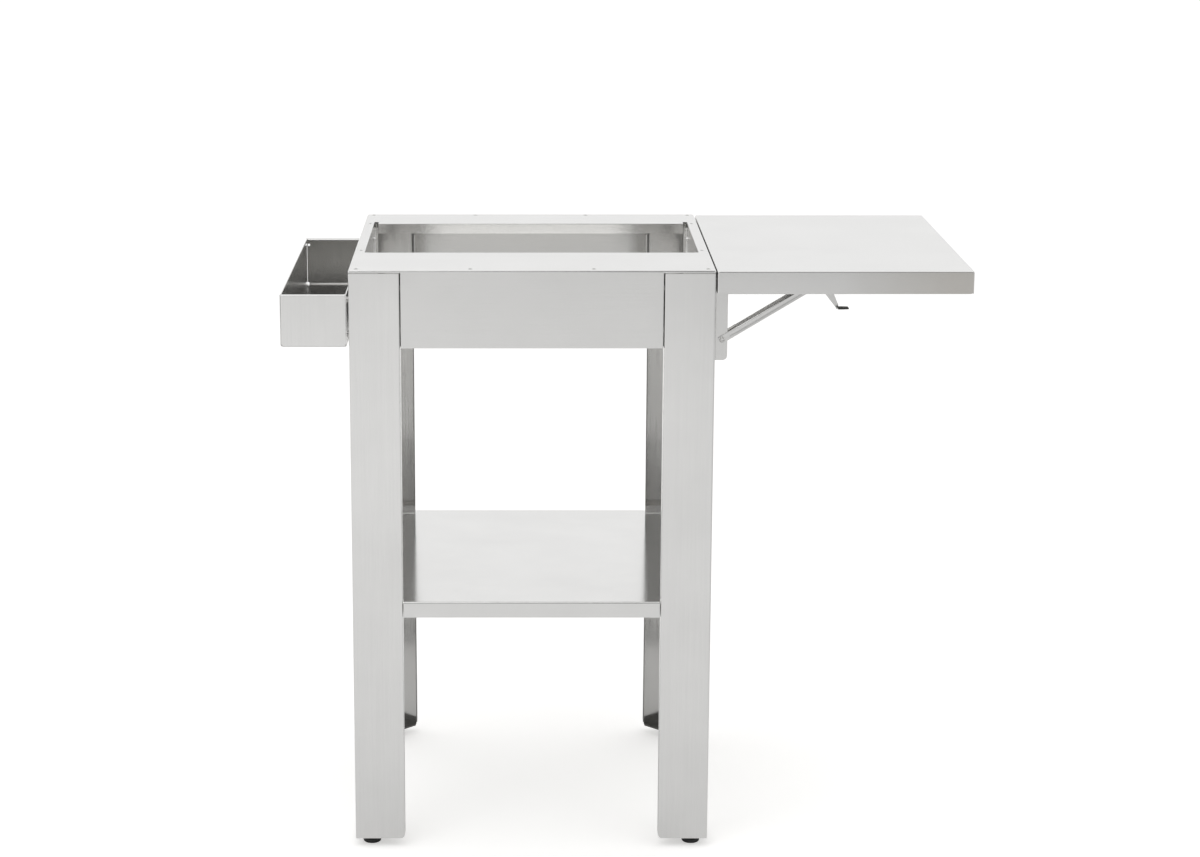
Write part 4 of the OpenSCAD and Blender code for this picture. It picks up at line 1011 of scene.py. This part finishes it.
def spread(make, places):
    bm = bmesh.new()
    for place in places:
        copy_into(bm, make(), place)
    return bm


def below(matrix, depth):
    return matrix @ at(0, 0, -depth)


def big_bolt(length):
    return button_screw(5, 3.3, 3, length, 1.9)


def small_bolt(head_height, length):
    return button_screw(4, head_height, 2.5, length, 1.5)


def big_nut():
    return hex_nut(10, NUT_H, BIG_BORE)


def small_nut():
    return hex_nut(8, NUT_H, SMALL_BORE)


def frame_fasteners():
    for group, zs, wall in (("frame", FRAME_BOLT_Z, DECK_T), ("shelf", SHELF_BOLT_Z, LOW_T)):
        under = LEG_T + LEG_GAP + wall
        bolts = spread(lambda: big_bolt(under + 6), lip_places(zs))
        nuts = spread(big_nut, (below(m, under + NUT_H) for m in lip_places(zs)))
        rings = spread(lambda: plain_ring(6, BIG_BORE, LEG_GAP),
                       (below(m, LEG_T + LEG_GAP) for m in lip_places(zs)))
        for name, bm in (("bolts", bolts), ("nuts", nuts), ("washers", rings)):
            finish_fastener(group + "_" + name, "turned", bm)


def countersunk_screw():
    shank, length = 2.5, 9
    rings = [(0, -0.5), (1.5, -0.5, "hex"), (1.5, 0.4, "hex"), (1.7, 0.65), (2.6, 0.55), (3.3, 0.25),
             (3.65, -0.1), (shank, -DECK_T)]
    rings += thread(shank, -2, 0.4 - length, 0.8)
    return turned(rings + [(1.9, -length), (0, -length)])


def rail_standoff():
    outer, length, deep, soft = 4, 13.5, 7, 0.2
    return turned([(SMALL_BORE, -deep), (SMALL_BORE, 0), (outer - soft, 0), (outer, -soft),
                   (outer, soft - length), (outer - soft, -length), (0, -length), (0, -deep),
                   (SMALL_BORE, -deep)])


def deck_fasteners():
    rail = [at(i * HOLE_X, y, RAIL_BOLT_Z, -90 * i, "Y") for i, y in RAIL_BOLTS]
    # Below the deck the inner screws hold the stiffening angles, and the outer ones the leg caps
    nut_places = [at(x, y, TOP - DECK_T - (ANGLE_T if abs(x) < LEG_IN else CAP_T) - NUT_H)
                  for x, y in SCREW_PLACES]
    screws = spread(countersunk_screw, (at(x, y, TOP) for x, y in SCREW_PLACES))
    finish_fastener("deck_screws", "countersunk", screws)
    finish_fastener("deck_nuts", "threaded", spread(small_nut, nut_places))
    bolts = spread(lambda: small_bolt(4, 8.25), rail)
    finish_fastener("rail_bolts", "threaded", bolts)
    posts = spread(rail_standoff, (below(m, DECK_T) for m in rail))
    finish_fastener("rail_standoffs", "turned", posts)


def tray_fasteners():
    x, gap = TRAY_X[1] - TRAY_T, TRAY_T + TRAY_SPACER
    places = [at(x, j * TRAY_BOLT_Y, z, -90, "Y") for j in (-1, 1) for z in TRAY_BOLT_Z]
    bolts = spread(lambda: small_bolt(2.6, gap + LEG_T + NUT_H + 2), places)
    rings = spread(lambda: plain_ring(5, SMALL_BORE, TRAY_SPACER), (below(m, gap) for m in places))
    nuts = spread(small_nut, (below(m, gap + LEG_T + NUT_H) for m in places))
    for name, bm in (("bolts", bolts), ("spacers", rings), ("nuts", nuts)):
        finish_fastener("tray_" + name, "threaded", bm)


def bracket_fasteners():
    leaf_zs = (788, (RIVET[1] + HINGE[1]) / 2)
    leaf = [at(HALF + LEAF_T, s * BRACKET_Y, z, 90, "Y") for s in (-1, 1) for z in leaf_zs]
    under = LEAF_T + LEG_T + NUT_H
    bolts = spread(lambda: big_bolt(under + 2), leaf)
    finish_fastener("leaf_bolts", "threaded", bolts)
    nuts = spread(big_nut, (below(m, under) for m in leaf))
    finish_fastener("leaf_nuts", "threaded", nuts)

    def weld_stud():
        shank, length = 2.5, 7.5
        rings = [(0, 0), (shank, 0), (shank, -1.4)] + thread(shank, -1.6, 0.7 - length, 0.8)
        return turned(rings + [(2, -length), (0, -length)])

    runs = (HINGE[0] + 24, (HINGE[0] + ARM_END) / 2, ARM_END - 18)
    places = [at(x, s * BRACKET_Y, WEB_Z) for s in (-1, 1) for x in runs]
    finish_fastener("shelf_studs", "threaded", spread(weld_stud, places), "side_shelf")
    nuts = spread(small_nut, (below(m, BRACKET_T + NUT_H) for m in places))
    finish_fastener("stud_nuts", "threaded", nuts, "side_shelf")


# Feet

def moulded_glide(name, i, j):
    bore = STEM_R + 0.02
    rings = [(0, 0), (11.5, 0), (12.5, 0.3), (13.6, 1.2), (14, 2.2), (14, 5.6), (13.6, 6.9),
             (12.6, 7.7), (11.4, 8), (8.4, 8.2), (7.4, 8.8), (7, 9.6), (7, 12.6), (6.6, 13),
             (bore, 13), (bore, 4), (0, 4)]
    bm = turned(rings, 48)
    # Finger grips round the disc's edge
    grips, deep = 24, 0.25
    for v in bm.verts:
        flat = Vector((v.co.x, v.co.y, 0))
        if flat.length > 13.5 and 1 < v.co.z < 7:
            v.co -= flat.normalized() * deep * (1 + math.cos(math.atan2(v.co.y, v.co.x) * grips))
    place = at(i * FOOT, j * FOOT, 0)
    finish_piece("glide_" + name + "_moulded", moved(bm, place), "foot_" + name, "glide_" + name,
                 black_plastic, sharp=50)
    rings = [(0, 4), (3.6, 4), (STEM_R, 4.6)] + thread(STEM_R, 5, STEM_TOP - 1, 1.25, 0.85)
    stem = moved(turned(rings + [(3.2, STEM_TOP), (0, STEM_TOP)]), place)
    finish_fastener("stem_" + name, "threaded", stem, "foot_" + name, sharp=50)


# Parts inside

def inner_parts():
    """Gives three kinds of plain solid their finish as they are, darker copies of the steel that are
    painted shade, and draws the nuts in the soles.
    """
    finishes = {"leg_caps": painted_shade_inside, "leg_soles": soles_painted_shade, "stiffening_angles": deck_inside_painted_shade}
    for name, material in finishes.items():
        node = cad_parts[name]
        node.data.materials.clear()
        node.data.materials.append(material)
    nut_places = [at(i * FOOT, j * FOOT, LEG_LOW + 3) for i, j in CORNERS.values()]
    nuts = spread(lambda: hex_nut(13, 6.5, STEM_R + 0.03), nut_places)
    finish_fastener("sole_nuts", "threaded", nuts)


# Floor, light and camera

def seen_share(tree, camera, shiny, other):
    """A strength by the kind of ray: straight from the camera, mirrored or through glass, or other."""
    path = add_node(tree, "LightPath").outputs
    mirror = worked(tree, "MAXIMUM", path["Is Glossy Ray"], path["Is Transmission Ray"])
    return mixed(tree, path["Is Camera Ray"], mixed(tree, mirror, other, shiny), camera)


def pale_floor():
    """White to the camera. In the steel it glows with painted light, white behind the stand and greyer out
    to the right.
    """
    half, under = 40, 0.0003
    bm = bmesh.new()
    bmesh.ops.create_grid(bm, x_segments=1, y_segments=1, size=half)
    floor = new_object(moved(bm, at(0, 0, -under)), "floor")
    material, tree, shader, coords = new_finish("pale_floor", 0)
    place = split(tree, coords["Object"])
    # Painted light: a glow that only mirrored rays see, set by place on the floor.
    behind = ranged(tree, place["Y"], 0, 0.36, 0.3, 0.9)
    beside = ranged(tree, place["X"], 0.14, 0, 0.2, 1.3)
    glow = seen_share(tree, 0.52, worked(tree, "ADD", behind, beside), 0.0)
    feed(tree, shader, {"Base Color": (0.75, 0.75, 0.75, 1), "Roughness": 0.9, "Specular IOR Level": 0,
                        "Emission Color": (1, 0.992, 0.972, 1), "Emission Strength": glow})
    floor.data.materials.append(material)


def studio_world():
    """White all round, with a greyer patch high up on the camera's side, as a studio has."""
    height, outer, inner, grey = math.radians(14), 0.66, 0.93, 0.3
    world = bpy.data.worlds.new("studio")
    bpy.context.scene.world = world
    world.use_nodes = True
    tree = world.node_tree
    sky = add_node(tree, "TexCoord").outputs["Generated"]
    patch = Vector((0, -math.cos(height), math.sin(height)))
    ahead = add_node(tree, "VectorMath", {0: sky, 1: patch}, operation="DOT_PRODUCT").outputs["Value"]
    lit = add_node(tree, "MapRange", {"Value": ahead, "From Min": outer, "From Max": inner, "To Min": 1.0,
                                      "To Max": grey}, interpolation_type="SMOOTHSTEP").outputs["Result"]
    shown = mixed(tree, add_node(tree, "LightPath").outputs["Is Camera Ray"], lit, 1.0)
    strength = worked(tree, "MULTIPLY", shown, seen_share(tree, 1.0, 0.97, 0.82))
    feed(tree, tree.nodes["Background"], {"Color": (1, 1, 1, 1), "Strength": strength})


def dark_card(place, size):
    """The dark things round the camera, with soft edges. Only steel shows them, as in a mirror."""
    bm = bmesh.new()
    bmesh.ops.create_grid(bm, x_segments=1, y_segments=1, size=0.5)
    card = new_object(moved(bm, at(0, 0, 0, 90, "X")), "dark_card")
    card.location = place
    card.scale = (size[0], 1, size[1])
    material, tree, shader, coords = new_finish("dark_card", 0)
    tree.nodes.remove(shader)
    fades = []
    for axis, core in (("X", 0.3), ("Z", 0.25)):
        away = worked(tree, "ABSOLUTE", split(tree, coords["Object"])[axis])
        fades.append(ranged(tree, away, 1, 0, core, 0.5))
    mirrored = add_node(tree, "LightPath").outputs["Is Glossy Ray"]
    seen = worked(tree, "MULTIPLY", worked(tree, "MULTIPLY", *fades), mirrored)
    clear = add_node(tree, "BsdfTransparent").outputs[0]
    dark = add_node(tree, "BsdfDiffuse", {"Color": (0.02, 0.02, 0.02, 1)}).outputs[0]
    mix = add_node(tree, "MixShader", {"Fac": seen, 1: clear, 2: dark}).outputs[0]
    feed(tree, tree.nodes["Material Output"], {"Surface": mix})
    card.data.materials.append(material)


def soft_lamp(name, place, aim, size, power):
    lamp = bpy.data.lights.new(name, "AREA")
    lamp.shape = "RECTANGLE"
    lamp.size, lamp.size_y = size
    lamp.energy = power
    obj = bpy.data.objects.new(name, lamp)
    obj.location = place
    obj.rotation_euler = (Vector(aim) - Vector(place)).to_track_quat("-Z", "Y").to_euler()
    bpy.context.scene.collection.objects.link(obj)


def photo_camera(place):
    """The photo's own camera, which looks down and not sideways. Its focal length and its middle are
    given in pixels of the photo, which is wider on the right."""
    photo_width, focal_length, middle, down = 1200, 2736.8, 518.5, 13.21
    camera = bpy.data.cameras.new("photo_camera")
    camera.sensor_fit = "HORIZONTAL"
    camera.sensor_width = 36
    camera.lens = camera.sensor_width * focal_length / photo_width
    camera.shift_x = 0.5 - middle / photo_width
    camera.clip_end = 200
    obj = bpy.data.objects.new("photo_camera", camera)
    obj.location = place
    obj.rotation_euler = (math.radians(90 - down), 0, 0)
    bpy.context.scene.collection.objects.link(obj)
    bpy.context.scene.camera = obj


folded_deck()
for corner, (i, j) in CORNERS.items():
    folded_leg(corner, i, j)
    moulded_glide(corner, i, j)
folded_lower_shelf()
folded_tray()
folded_side_shelf()
folded_stiffener()
for side, s in SIDES.items():
    folded_leaf(side, s)
    folded_arm(side, s)
    pressed_strut(side, s)
    pressed_lever(side, s)
    dipped_grip(side, s)
bracket_pins()
frame_fasteners()
deck_fasteners()
tray_fasteners()
bracket_fasteners()
inner_parts()

pale_floor()
studio_world()
soft_lamp("left_front", (-1.6, -3.2, 3.2), aim=(-0.5, -2.0, 0), size=(3, 3), power=26)
camera_x = (STAND_X - 20.3) * MM
photo_camera((camera_x, -4.3027, 1.618))
dark_card((camera_x, -4.4, 1.62), size=(2.2, 0.8))
bpy.context.scene.view_settings.view_transform = "Standard"
